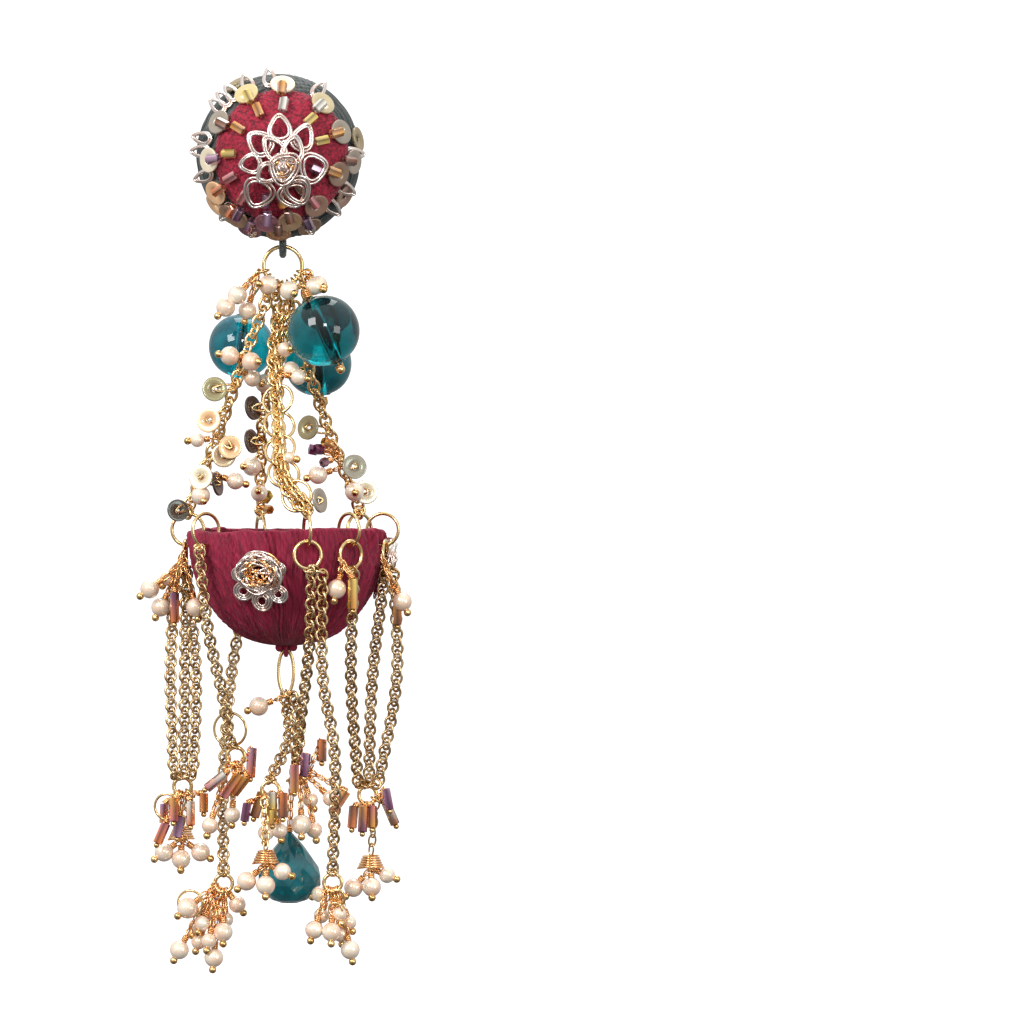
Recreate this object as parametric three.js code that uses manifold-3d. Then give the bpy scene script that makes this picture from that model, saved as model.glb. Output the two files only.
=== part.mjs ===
// A chandelier earring: a thread-wrapped stud with a wire flower, four chains, a hollow silk-wound bowl,
// and strands of chain that end in bugle beads, pearls and a cut teal drop.
// Millimetres and degrees. +X is the viewer's right, -Y faces the viewer, +Z is up.
// The origin is on the face that rests against the ear lobe, at the foot of the post.
import * as THREE from "three";
import { mergeVertices } from "three/addons/utils/BufferGeometryUtils.js";
import Module from "manifold-3d";

const wasm = await Module();
wasm.setup();

// Clearances
const GAP = 0.12; // between neighbouring pieces
const RING_PLAY = 0.3; // under the ring, where it hangs in the thread loop
const END_PLAY = 0.4; // between the foot of a chain and its ring on the rim

// Stud
const POST_RADIUS = 0.45;
const POST_LENGTH = 11;
const PAD_RADIUS = 4;
const PAD_THICKNESS = 0.6;
const STUD_RADIUS = 10.3;
const STUD_BAND = 1.2; // straight side behind the half ball
const VELVET_THICKNESS = 0.7;
const VELVET_SIDES = 20;
const VELVET_STEPS = 3; // rows of facets from the middle of the face to its edge
const VELVET_ANGLE = 53; // from the middle of the face to the edge of the velvet
const FACE_TURN = 5; // the face looks a little to the right
const FACE_NOD = 3.4; // and a little down
const SPOKE_COUNT = 12;
const FIRST_SPOKE = 85; // degrees round the face from the right
const SEQUIN_RADIUS = 1.55;
const SEQUIN_THICKNESS = 0.5;
const BUGLE_RADIUS = 0.6;
const BUGLE_LENGTH = 1.9;
const FLOWER_LIFT = 2.3; // height of the petals above the half ball
const PETAL_LENGTH = 3.5;
const PETAL_WIDTH = 2.5;
const PETAL_WIRE = 0.2;

// Thread loop and top ring
const THREAD_RADIUS = 0.45;
const THREAD_LOOP_HEIGHT = 1.9; // between centre lines
const THREAD_LOOP_DEPTH = 2.4;
const TOP_RING_RADIUS = 2.4;
const RING_WIRE = 0.25;
const HANG_X = 0.6;
const HANG_Y = -4.5;

// Wires, beads and chains
const LOOP_RADIUS = 0.7; // an eye that hangs on a ring
const LOOP_WIRE = 0.17;
const PEARL_RADIUS = 1.2;
const BALL_RADIUS = 0.58; // the ball that ends a head pin
const CHAIN_RADIUS = 0.65; // half the width of a curb chain
const STEM_LENGTH = 1.6; // the bare first link under each eye of a chain
const LINK_RADIUS = 1.9; // the large links on the front chain
const LINK_OVERLAP = 0.3; // by which each large link is caught in the next
const TEAL_RADIUS = 4.5;
const TEAL_HOLE = 0.5;
const BRIOLETTE_RADIUS = 3.9;
const BRIOLETTE_HEIGHT = 9;
const COIL_RADIUS = 1.2; // coiled wire over a spray of pearls
const COIL_HEIGHT = 1.6;

// Silk bowl
const BOWL_X = 0.4; // from the top ring
const BOWL_DROP = 33.3; // from the middle of the top ring to the rim
const BOWL_RADIUS = 12.2;
const BOWL_DEPTH = 14.2;
const BOWL_WALL = 1.2;
const RIM_RING_RADIUS = 2;
const RIM_RING_WIRE = 0.22;
const RIM_RING_OUT = 0.1; // from the bowl's outside to the ring's middle
const RIM_HOLE_RADIUS = 1;
const RIM_HOLE_DEPTH = 1.55; // below the rim
const KNOT_WIRE = 0.25;
const HANGER_RADIUS = 1.7;
const SEAT_STEP = 14; // degrees between the wires on a hanger
const FLOWER_DOWN = 0.4; // of the bowl's depth, from the rim to a flower
const FLOWER_SPREAD = 0.8; // of a petal's length, from the flower's middle to its petals
const BASE_RING_HEIGHT = 5.6;
const BASE_RING_WIDTH = 1.9;
const TASSEL_DROP = 29; // from the rim to the lowest bead hubs that the strands reach
const HUB_RADIUS = 1.1;

const rad = THREE.MathUtils.degToRad;
const vec = (x, y, z) => new THREE.Vector3(x, y, z);

const finish = (color, roughness, metalness = 0) =>
  new THREE.MeshStandardMaterial({ color, roughness, metalness });
const GREEN_THREAD = finish(0x26423f, 0.8);
const CRIMSON_VELVET = finish(0x9c1533, 0.9);
const SILVER_WIRE = finish(0xd9cfc6, 0.3, 1);
const GOLD = finish(0xc9a04e, 0.3, 1);
const ANTIQUE_GOLD = finish(0x9c8150, 0.4, 1);
const TEAL_GLASS = finish(0x04707a, 0.1);
const PEARL = finish(0xf3dfd2, 0.3);
const AMBER_GLASS = finish(0xb2582c, 0.2);
const MAROON_SILK = finish(0x74143c, 0.6);

// A closed geometry as a manifold solid, its faces turned outwards.
function solid(geometry) {
  const bare = geometry.index ? geometry.toNonIndexed() : geometry.clone();
  for (const name of Object.keys(bare.attributes)) {
    if (name !== "position") bare.deleteAttribute(name);
  }
  const merged = mergeVertices(bare, 1e-4);
  const triVerts = new Uint32Array(merged.index.array);
  const vertProperties = new Float32Array(merged.attributes.position.array);
  const made = new wasm.Manifold(new wasm.Mesh({ numProp: 3, vertProperties, triVerts }));
  if (made.volume() >= 0) return made;
  for (let i = 0; i < triVerts.length; i += 3) {
    [triVerts[i + 1], triVerts[i + 2]] = [triVerts[i + 2], triVerts[i + 1]];
  }
  return new wasm.Manifold(new wasm.Mesh({ numProp: 3, vertProperties, triVerts }));
}

function geometryOf(body) {
  const mesh = body.getMesh();
  return new THREE.BufferGeometry()
    .setAttribute("position", new THREE.BufferAttribute(new Float32Array(mesh.vertProperties), 3))
    .setIndex(new THREE.BufferAttribute(new Uint32Array(mesh.triVerts), 1));
}

const join = (geometries) => geometries.map(solid).reduce((all, one) => all.add(one));
const fused = (geometries) => geometryOf(join(geometries));

// Turns a geometry's +Y onto a direction and moves its origin to a point.
function aimed(geometry, point, direction) {
  const turn = new THREE.Quaternion().setFromUnitVectors(vec(0, 1, 0), direction.clone().normalize());
  return geometry.applyQuaternion(turn).translate(point.x, point.y, point.z);
}

// A prism between two points: a thin wire unless it is given more sides.
function rod(from, to, radius, sides = 3) {
  const along = to.clone().sub(from);
  const corners = Array.from({ length: sides }, (_, i) => (2 * Math.PI * i) / sides);
  const outline = corners.map((a) => new THREE.Vector2(radius * Math.cos(a), radius * Math.sin(a)));
  const shape = new THREE.Shape(outline);
  const prism = new THREE.ExtrudeGeometry(shape, { depth: along.length(), bevelEnabled: false });
  return aimed(prism.rotateX(-Math.PI / 2), from, along);
}

// An oval of round wire, across X and up Z.
function oval(halfWidth, halfHeight, wire, segments = 14, sides = 5) {
  const torus = new THREE.TorusGeometry(1, wire, sides, segments);
  const points = torus.attributes.position;
  for (let i = 0; i < points.count; i++) {
    const spin = Math.atan2(points.getY(i), points.getX(i));
    const rise = Math.hypot(points.getX(i), points.getY(i)) - 1;
    const out = vec(halfHeight * Math.cos(spin), halfWidth * Math.sin(spin), 0).normalize();
    const heart = vec(halfWidth * Math.cos(spin), halfHeight * Math.sin(spin), points.getZ(i));
    points.setXYZ(i, ...heart.addScaledVector(out, rise));
  }
  return torus.rotateX(Math.PI / 2);
}

const ring = (centre, normal, radius, wire, segments = 10, sides = 5) =>
  aimed(oval(radius, radius, wire, segments, sides), centre, normal);

const pearl = (centre, radius = PEARL_RADIUS) =>
  new THREE.SphereGeometry(radius, 10, 4).translate(centre.x, centre.y, centre.z);

function disc(centre, normal, radius, thickness) {
  const half = normal.clone().setLength(thickness / 2);
  return rod(centre.clone().sub(half), centre.clone().add(half), radius, 10);
}

// A tube of a chain's width along a smooth route, with a step about every three widths.
function tube(route, radius = CHAIN_RADIUS) {
  const curve = new THREE.CatmullRomCurve3(route, false, "centripetal");
  const outline = new THREE.Shape();
  outline.absarc(0, 0, radius, 0, 2 * Math.PI);
  const steps = Math.max(4, Math.round(curve.getLength() / (6 * radius)));
  return new THREE.ExtrudeGeometry(outline, {
    steps,
    curveSegments: 4,
    bevelEnabled: false,
    extrudePath: curve,
  });
}

// A route between two ends. Each bend is at a share of the way, moved by shares of the span.
function routed(from, to, bends) {
  const span = from.distanceTo(to);
  const middle = bends.map(({ share, across, depth }) =>
    from.clone().lerp(to, share).add(vec(across, depth, 0).multiplyScalar(span)),
  );
  return [from, ...middle, to];
}

const root = new THREE.Group();

function piece(name, geometry, material, group) {
  const mesh = new THREE.Mesh(geometry, material);
  mesh.name = name;
  group.add(mesh);
  return mesh;
}

// Stud: a half ball wound with thread, its velvet face ringed with sequins and bugle beads.
const stud = new THREE.Group();
root.add(stud);
const ballY = -(PAD_THICKNESS + GAP + STUD_BAND);

const lathe = (points, segments) =>
  new THREE.LatheGeometry(points.map(([r, y]) => new THREE.Vector2(r, y)), segments);

function postGeometry() {
  const tip = POST_RADIUS * 0.5;
  return lathe(
    [
      [0, -PAD_THICKNESS],
      [PAD_RADIUS, -PAD_THICKNESS],
      [PAD_RADIUS, 0],
      [POST_RADIUS, 0],
      [POST_RADIUS, POST_LENGTH - tip],
      [tip, POST_LENGTH],
      [0, POST_LENGTH],
    ],
    12,
  );
}

function ballGeometry() {
  const arc = Array.from({ length: 8 }, (_, i) => rad((90 * i) / 7));
  const backY = ballY + STUD_BAND;
  const front = arc.map((a) => [STUD_RADIUS * Math.cos(a), ballY - STUD_RADIUS * Math.sin(a)]);
  front[front.length - 1][0] = 0;
  return fused([lathe([[0, backY], [STUD_RADIUS, backY], ...front], 20)]);
}

// A point over the half ball, in the face's own frame: around the face, away from its middle, and up off it.
function overBall(spin, away, lift) {
  const reach = STUD_RADIUS + lift;
  const out = reach * Math.sin(rad(away));
  return vec(out * Math.cos(rad(spin)), -reach * Math.cos(rad(away)), out * Math.sin(rad(spin)));
}

// The velvet is a shell of flat facets, whose inside is far enough out for their middles to clear the ball.
const velvetStep = rad(VELVET_ANGLE / VELVET_STEPS);
const facetReach = Math.cos(Math.PI / VELVET_SIDES) * Math.cos(velvetStep / 2);
const velvetInside = (STUD_RADIUS + GAP) / facetReach;
const velvetTop = velvetInside + VELVET_THICKNESS - STUD_RADIUS;

function velvetGeometry() {
  const arc = Array.from({ length: VELVET_STEPS + 1 }, (_, i) => velvetStep * i);
  const shell = (reach) => arc.map((a) => [reach * Math.sin(a), -reach * Math.cos(a)]);
  return lathe([...shell(velvetInside), ...shell(velvetInside + VELVET_THICKNESS).reverse()], VELVET_SIDES);
}

const perMillimetre = 180 / (Math.PI * (STUD_RADIUS + velvetTop)); // degrees of arc on the velvet

function faceGeometry() {
  const parts = [velvetGeometry()];
  for (let i = 0; i < SPOKE_COUNT; i++) {
    const spin = FIRST_SPOKE + (360 * i) / SPOKE_COUNT;
    const sequinAway = VELVET_ANGLE - 1.3 * SEQUIN_RADIUS * perMillimetre;
    const bugleEnd = sequinAway - 0.7 * SEQUIN_RADIUS * perMillimetre;
    const bugleStart = bugleEnd - 2 * BUGLE_LENGTH * perMillimetre;
    const sequin = overBall(spin, sequinAway, velvetTop + SEQUIN_THICKNESS);
    const start = overBall(spin, bugleStart, velvetTop + 0.5 * BUGLE_RADIUS);
    const end = overBall(spin, bugleEnd, velvetTop + SEQUIN_THICKNESS + BUGLE_RADIUS);
    parts.push(disc(sequin, sequin, SEQUIN_RADIUS, SEQUIN_THICKNESS), rod(start, end, BUGLE_RADIUS, 6));
  }
  return fused(parts);
}

// An oval petal of wire that lies flat over the face.
function petal(spin, away, lift, length, width) {
  const centre = overBall(spin, away, lift);
  const outline = oval(width / 2, length / 2, PETAL_WIRE, 7, 4).rotateX(-Math.PI / 2);
  const outward = centre.clone().normalize();
  const along = overBall(spin, away + 5, lift).sub(centre).normalize();
  const side = along.clone().cross(outward);
  const basis = new THREE.Matrix4().makeBasis(side, along, outward).setPosition(centre);
  return outline.applyMatrix4(basis);
}

function studFlowerGeometry() {
  const outer = [95, 50, 5, 318, 275, 235, 190, 140].map((spin) =>
    petal(spin, PETAL_LENGTH * perMillimetre, FLOWER_LIFT, PETAL_LENGTH, PETAL_WIDTH),
  );
  const foot = overBall(0, 0, velvetTop + GAP);
  const crown = overBall(0, 0, FLOWER_LIFT + 2 * PETAL_WIRE);
  return fused([rod(foot, crown, 0.95 * PETAL_WIDTH, 10), ...outer]);
}

piece("ear_post", postGeometry(), GOLD, stud);
piece("stud_dome", ballGeometry(), GREEN_THREAD, stud);
const face = new THREE.Group();
face.position.set(0, ballY, 0);
face.rotation.set(rad(FACE_NOD), 0, rad(FACE_TURN));
stud.add(face);
piece("stud_face", faceGeometry(), CRIMSON_VELVET, face);
piece("stud_flower", studFlowerGeometry(), SILVER_WIRE, face);

// The thread loop under the stud, in the plane that faces sideways, so that the top ring shows its round.
const loopTop = -Math.sqrt(STUD_RADIUS ** 2 - HANG_X ** 2 - (HANG_Y - ballY) ** 2) - GAP - THREAD_RADIUS;
const loopBottom = loopTop - THREAD_LOOP_HEIGHT;
const threadOval = oval(THREAD_LOOP_DEPTH / 2, THREAD_LOOP_HEIGHT / 2, THREAD_RADIUS, 12, 6);
const threadLoop = aimed(threadOval, vec(0, 0, 0), vec(1, 0, 0));
piece("thread_loop", threadLoop, GREEN_THREAD, stud).position.set(HANG_X, HANG_Y, (loopTop + loopBottom) / 2);

// Everything below hangs from the top ring, whose middle is the drop's own origin.
const drop = new THREE.Group();
drop.position.set(HANG_X, HANG_Y, loopBottom + THREAD_RADIUS + RING_PLAY + RING_WIRE - TOP_RING_RADIUS);
root.add(drop);
piece("top_ring", ring(vec(0, 0, 0), vec(0, 1, 0), TOP_RING_RADIUS, RING_WIRE, 20), GOLD, drop);

// An eye on the top ring, at an angle round it from the right. It returns the eye and where its tail leaves.
const eyeShift = LOOP_RADIUS - LOOP_WIRE - RING_WIRE - GAP;

function topEye(angle, towards) {
  const out = vec(Math.cos(rad(angle)), 0, Math.sin(rad(angle)));
  const centre = out.clone().multiplyScalar(TOP_RING_RADIUS + eyeShift);
  const leave = towards === 0 ? out : vec(0, towards, 0);
  const tail = centre.clone().addScaledVector(leave, LOOP_RADIUS);
  const tangent = vec(-Math.sin(rad(angle)), 0, Math.cos(rad(angle)));
  return { body: ring(centre, tangent, LOOP_RADIUS, LOOP_WIRE), tail };
}

// A point beside another one, in pearl radii.
const beside = (point, across, depth, down) =>
  vec(across, depth, -down).multiplyScalar(PEARL_RADIUS).add(point);

// Pearls on wires. Each row places its pearl from a hub in pearl radii. A wire starts at the hub, or at a
// seat of its own that is worked out from how far across its pearl hangs and from its number.
function sprayed(hub, rows, seat = () => hub) {
  return rows.flatMap(({ across, depth, down, size = 1 }, number) => {
    const centre = beside(hub, across, depth, down);
    return [rod(seat(across, number), centre, LOOP_WIRE), pearl(centre, size * PEARL_RADIUS)];
  });
}

// Bugle beads on pins, each from a start to a tip. Both are across, in depth and down, in pearl radii.
function bugled(hub, rows, seat = () => hub) {
  const place = ([across, depth, down]) => beside(hub, across, depth, down);
  return rows.flatMap(({ from, to }, number) => [
    rod(seat(from[0], number), place(from), LOOP_WIRE),
    rod(place(from), place(to), BUGLE_RADIUS, 6),
  ]);
}

// A point on an upright ring, some degrees from its foot towards a direction in its plane.
function onRing(centre, aside, radius, lean) {
  const point = vec(0, 0, -radius * Math.cos(rad(lean)));
  return point.addScaledVector(aside, radius * Math.sin(rad(lean))).add(centre);
}

// Teal glass beads on ball-ended pins. Places are in teal radii from the ring's middle, leans in degrees.
const TEAL_BEADS = [
  { name: "front", size: 1, across: 1.16, depth: -1.14, down: 1.84, lean: 24, angle: 305, towards: -1 },
  { name: "rear", size: 0.94, across: 0.94, depth: 1.4, down: 2.68, lean: 8, angle: 322, towards: 1 },
  { name: "left", size: 0.91, across: -1.2, depth: 1.2, down: 2.2, lean: -6, angle: 214, towards: 1 },
];

function tealProfile(radius) {
  const arc = Array.from({ length: 8 }, (_, i) => rad(8 + (164 * i) / 7));
  const outer = arc.map((a) => [radius * Math.sin(a) ** 0.9, -0.96 * radius * Math.cos(a)]);
  const end = 0.97 * radius;
  const mouth = (side) => [
    [TEAL_HOLE, side * end],
    [2 * TEAL_HOLE, side * end],
  ];
  return [...mouth(-1), ...outer.slice(1, -1), ...mouth(1).reverse(), [TEAL_HOLE, -end]];
}

for (const { name, size, across, depth, down, lean, angle, towards } of TEAL_BEADS) {
  const radius = size * TEAL_RADIUS;
  const centre = vec(across, depth, -down).multiplyScalar(TEAL_RADIUS);
  const up = vec(-Math.sin(rad(lean)), 0, Math.cos(rad(lean)));
  piece("teal_bead_" + name, fused([aimed(lathe(tealProfile(radius), 12), centre, up)]), TEAL_GLASS, drop);
  const eye = topEye(angle, towards);
  const neck = centre.clone().addScaledVector(up, radius + 2 * GAP + BALL_RADIUS);
  const foot = centre.clone().addScaledVector(up, -(radius + GAP + BALL_RADIUS));
  const wires = [rod(eye.tail, neck, LOOP_WIRE), rod(neck, foot, LOOP_WIRE)];
  piece("teal_pin_" + name, fused([eye.body, ...wires, pearl(foot, BALL_RADIUS)]), GOLD, drop);
}

// Sprays of pearls round the top ring, in pearl radii from the tail of their eye.
const TOP_SPRAYS = [
  {
    name: "front",
    angle: 268,
    towards: -1,
    pearls: [
      { across: -1.4, depth: -1.3, down: -0.1 },
      { across: 0.8, depth: -1.5, down: 0.5 },
    ],
  },
  {
    name: "left",
    angle: 196,
    towards: 0,
    pearls: [
      { across: -2.1, depth: -0.5, down: 2.3 },
      { across: -3.3, depth: -0.9, down: 3.6 },
      { across: -1.1, depth: 0.7, down: 3.9, size: 0.95 },
    ],
  },
];

for (const { name, angle, towards, pearls } of TOP_SPRAYS) {
  const eye = topEye(angle, towards);
  piece("pearl_spray_" + name, fused([eye.body, ...sprayed(eye.tail, pearls)]), PEARL, drop);
}

// Places on the bowl's rim, by the angle from the front towards the right.
const RIM_PLACES = {
  left: -92,
  front_left: -52,
  front: 14,
  front_right: 41,
  right: 80,
  rear_right: 133,
  rear: 197,
};
const bowlCentre = vec(BOWL_X, 0, -BOWL_DROP);

const outward = (place) => vec(Math.sin(rad(place)), -Math.cos(rad(place)), 0);
const besideBowl = (place, radius, up) =>
  bowlCentre.clone().addScaledVector(outward(place), radius).add(vec(0, 0, up));

// Each rim ring goes through a hole in the wall and over the rim. Its middle is set from that hole.
const wallMiddle = BOWL_RADIUS - BOWL_WALL / 2;
const rimRingAt = BOWL_RADIUS + RIM_RING_OUT;
const rimRingUp = Math.sqrt(RIM_RING_RADIUS ** 2 - (rimRingAt - wallMiddle) ** 2) - RIM_HOLE_DEPTH;

for (const [name, place] of Object.entries(RIM_PLACES)) {
  const tangent = outward(place + 90);
  const body = ring(besideBowl(place, rimRingAt, rimRingUp), tangent, RIM_RING_RADIUS, RIM_RING_WIRE);
  piece("rim_ring_" + name, body, GOLD, drop);
}

const knotDrop = LOOP_RADIUS - KNOT_WIRE; // from the bowl's pole to the middle of its knot

// The bowl: a hollow half egg, pierced for its rim rings, with a thread knot under it.
function bowlGeometry() {
  const arc = Array.from({ length: 7 }, (_, i) => rad((90 * i) / 6));
  const skin = (radius, depth) => arc.map((a) => [radius * Math.cos(a) ** 0.9, -depth * Math.sin(a)]);
  const outer = skin(BOWL_RADIUS, BOWL_DEPTH);
  const inner = skin(BOWL_RADIUS - BOWL_WALL, BOWL_DEPTH - BOWL_WALL).reverse();
  outer[outer.length - 1][0] = 0;
  inner[0][0] = 0;
  let body = solid(lathe([...inner, ...outer], 20).rotateX(Math.PI / 2));
  for (const place of Object.values(RIM_PLACES)) {
    const at = (radius) => outward(place).multiplyScalar(radius).add(vec(0, 0, -RIM_HOLE_DEPTH));
    const drill = rod(at(wallMiddle - BOWL_WALL), at(wallMiddle + BOWL_WALL), RIM_HOLE_RADIUS, 6);
    body = body.subtract(solid(drill));
  }
  const knot = ring(vec(0, 0, -BOWL_DEPTH - knotDrop), vec(1, 0, 0), LOOP_RADIUS, KNOT_WIRE);
  return geometryOf(body.add(solid(knot)));
}

piece("silk_bowl", bowlGeometry(), MAROON_SILK, drop).position.copy(bowlCentre);

// Wire flowers laid on the bowl's wall.
const FLOWER_PLACES = { front: -13.5, right: 106.5 };

for (const [name, place] of Object.entries(FLOWER_PLACES)) {
  const slope = Math.asin(FLOWER_DOWN);
  const normal = outward(place)
    .multiplyScalar(Math.cos(slope) / BOWL_RADIUS)
    .add(vec(0, 0, -Math.sin(slope) / BOWL_DEPTH))
    .normalize();
  const seat = besideBowl(place, BOWL_RADIUS * Math.cos(slope) ** 0.9, -BOWL_DEPTH * FLOWER_DOWN);
  const lift = GAP + 2.5 * PETAL_WIRE;
  const parts = [disc(vec(0, 0, 0), vec(0, 1, 0), 0.8 * PETAL_WIDTH, 4 * PETAL_WIRE)];
  for (const spin of [30, 105, 180, 240, 300]) {
    const out = vec(Math.cos(rad(spin)), 0, Math.sin(rad(spin)));
    const middle = out.multiplyScalar(FLOWER_SPREAD * PETAL_LENGTH);
    parts.push(ring(middle, vec(0, 1, 0), 0.35 * PETAL_WIDTH, PETAL_WIRE, 6, 4));
  }
  const flower = piece("bowl_flower_" + name, fused(parts), SILVER_WIRE, drop);
  flower.position.copy(seat.addScaledVector(normal, lift));
  flower.quaternion.setFromUnitVectors(vec(0, 1, 0), normal);
}

// The four chains from the top ring to the rim, with the sequins and pearls that hang on them.
// Charms are placed by the share of the way down, and in pearl radii from the chain.
const TOP_CHAINS = [
  {
    name: "front",
    rim: "front",
    angle: 286,
    bends: [
      { share: 0.2, across: -0.07, depth: 0.01 },
      { share: 0.55, across: -0.09, depth: 0.02 },
      { share: 0.85, across: -0.085, depth: 0 },
    ],
    links: 4,
    sequins: [{ share: 0.97, across: 1.7, depth: 0.6, down: -0.3, turn: 60 }],
    collar: [],
    pearls: [],
  },
  {
    name: "left",
    rim: "left",
    angle: 232,
    bends: [
      { share: 0.3, across: 0, depth: -0.02 },
      { share: 0.7, across: 0.01, depth: 0 },
    ],
    sequins: [
      { share: 0.42, across: -2, depth: -0.7, down: 0.2, turn: 10 },
      { share: 0.54, across: -1.7, depth: -0.9, down: 0.8, turn: -15 },
      { share: 0.76, across: 1.6, depth: -0.8, down: -0.4, turn: 8 },
      { share: 0.83, across: -0.1, depth: -1.9, down: 0.4, turn: -20 },
      { share: 0.86, across: 1.8, depth: 0.4, down: 0.4, turn: 70 },
    ],
    collar: [],
    pearls: [
      { share: 0.28, across: -1.5, depth: -0.6, down: -0.2 },
      { share: 0.3, across: 0.9, depth: -1.1, down: 0 },
      { share: 0.82, across: 3.3, depth: 0.4, down: 1, size: 0.9 },
      { share: 0.9, across: 0.5, depth: -1.5, down: 0.8 },
    ],
  },
  {
    name: "right",
    rim: "rear_right",
    angle: 340,
    bends: [
      { share: 0.3, across: -0.07, depth: -0.075 },
      { share: 0.6, across: -0.055, depth: -0.05 },
    ],
    sequins: [
      { share: 0.63, across: -2.2, depth: -0.4, down: -0.4, turn: -35 },
      { share: 0.78, across: 1.4, depth: -0.8, down: 0.4, turn: 15 },
      { share: 0.91, across: 1.5, depth: -1.2, down: 0.2, turn: 5 },
    ],
    collar: [{ across: 1.2, depth: -1.9, down: 1.1, size: 0.95 }],
    pearls: [
      { share: 0.8, across: -2.6, depth: -0.8, down: 0.8 },
      { share: 0.91, across: 0.3, depth: -2.8, down: 0.2 },
    ],
  },
  {
    name: "rear",
    rim: "rear",
    angle: 250,
    towards: 1,
    bends: [
      { share: 0.2, across: 0.015, depth: -0.02 },
      { share: 0.6, across: -0.02, depth: 0 },
    ],
    sequins: [
      { share: 0.52, across: -1.2, depth: -0.4, down: 0, turn: 55 },
      { share: 0.68, across: -1, depth: -0.4, down: 0, turn: 60 },
    ],
    collar: [],
    pearls: [
      { share: 0.8, across: -0.9, depth: -1, down: 0 },
    ],
  },
];

function topChain({ name, rim, angle, towards = 0, bends, links = 0, sequins, collar, pearls }) {
  const eye = topEye(angle, towards);
  const place = RIM_PLACES[rim];
  const end = besideBowl(place, rimRingAt, rimRingUp + RIM_RING_RADIUS + RIM_RING_WIRE + END_PLAY);
  const start = eye.tail.clone().add(vec(0, 0, -STEM_LENGTH));
  const route = routed(start, end, bends);
  const curve = new THREE.CatmullRomCurve3(route, false, "centripetal");
  const parts = [eye.body, rod(eye.tail, start, 1.4 * LOOP_WIRE), ...sprayed(eye.tail, collar)];
  const span = curve.getLength();
  const pitch = 2 * LINK_RADIUS - LINK_OVERLAP;
  for (let i = 0; i < links; i++) {
    const share = 1 - (LINK_RADIUS + RING_WIRE + pitch * i) / span;
    const facing = vec(0.15, 1, 0).projectOnPlane(curve.getTangentAt(share));
    parts.push(ring(curve.getPointAt(share), facing, LINK_RADIUS, RING_WIRE, 12));
  }
  const tubeEnd = 1 - (pitch * links) / span;
  const points = Array.from({ length: 6 }, (_, i) => curve.getPointAt((tubeEnd * i) / 5));
  parts.push(tube(points));
  const charm = ({ share, across, depth, down }) => {
    const held = curve.getPointAt(share);
    return [held, beside(held, across, depth, down)];
  };
  for (const row of sequins) {
    const [held, middle] = charm(row);
    const facing = vec(Math.sin(rad(row.turn)), -Math.cos(rad(row.turn)), 0.15);
    parts.push(rod(held, middle, LOOP_WIRE), disc(middle, facing, SEQUIN_RADIUS, SEQUIN_THICKNESS));
  }
  for (const row of pearls) {
    const [held, middle] = charm(row);
    parts.push(rod(held, middle, LOOP_WIRE), pearl(middle, (row.size ?? 1) * PEARL_RADIUS));
  }
  piece("chain_" + name, fused(parts), GOLD, drop);
}

TOP_CHAINS.forEach(topChain);

// Hangers on the rim rings: each holds strands of chain at its foot, and beads from a place round it that
// leans from the foot by some degrees.
const RIM_DROPS = [
  {
    name: "left",
    lean: 50,
    pearls: [
      { across: -3.6, depth: 0, down: 2.7 },
      { across: -2.5, depth: 0.8, down: 4.6 },
      { across: 1.2, depth: -0.9, down: 4.6 },
    ],
    bugles: [{ from: [-1, -0.6, 3.1], to: [-1, -0.9, 6.2] }],
  },
  { name: "front", lean: 0, pearls: [], bugles: [] },
  {
    name: "front_right",
    lean: -50,
    pearls: [{ across: -0.6, depth: -0.4, down: 2.6 }],
    bugles: [{ from: [1.1, -0.8, 1.6], to: [1.1, -1, 4.7] }],
  },
  {
    name: "right",
    lean: -60,
    pearls: [{ across: 2, depth: 0.2, down: 4.2 }],
    bugles: [{ from: [1.5, 0.5, 4.1], to: [1.5, 0.6, 6.6] }],
  },
  { name: "rear", lean: 0, pearls: [], bugles: [] },
];

// The hanger lies against the bowl and goes through the rim ring, on its lowest wire.
const hangerAt = BOWL_RADIUS + RING_WIRE + 1.5 * GAP;
const hangerTop =
  rimRingUp - Math.sqrt(RIM_RING_RADIUS ** 2 - (hangerAt - rimRingAt) ** 2) + RIM_RING_WIRE + GAP + RING_WIRE;
const hangerCentre = (place) => besideBowl(place, hangerAt, hangerTop - HANGER_RADIUS);

for (const { name, lean, pearls, bugles } of RIM_DROPS) {
  const place = RIM_PLACES[name];
  const centre = hangerCentre(place);
  const aside = outward(place + 90);
  const hub = onRing(centre, aside, HANGER_RADIUS, lean);
  const step = Math.sign(lean) * SEAT_STEP;
  const seat = (_, number) => onRing(centre, aside, HANGER_RADIUS, lean + step * number);
  const bugleSeat = (_, number) => seat(_, number + pearls.length);
  const parts = [ring(centre, outward(place), HANGER_RADIUS, RING_WIRE, 12)];
  parts.push(...sprayed(hub, pearls, seat), ...bugled(hub, bugles, bugleSeat));
  piece("rim_drops_" + name, fused(parts), PEARL, drop);
}

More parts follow.
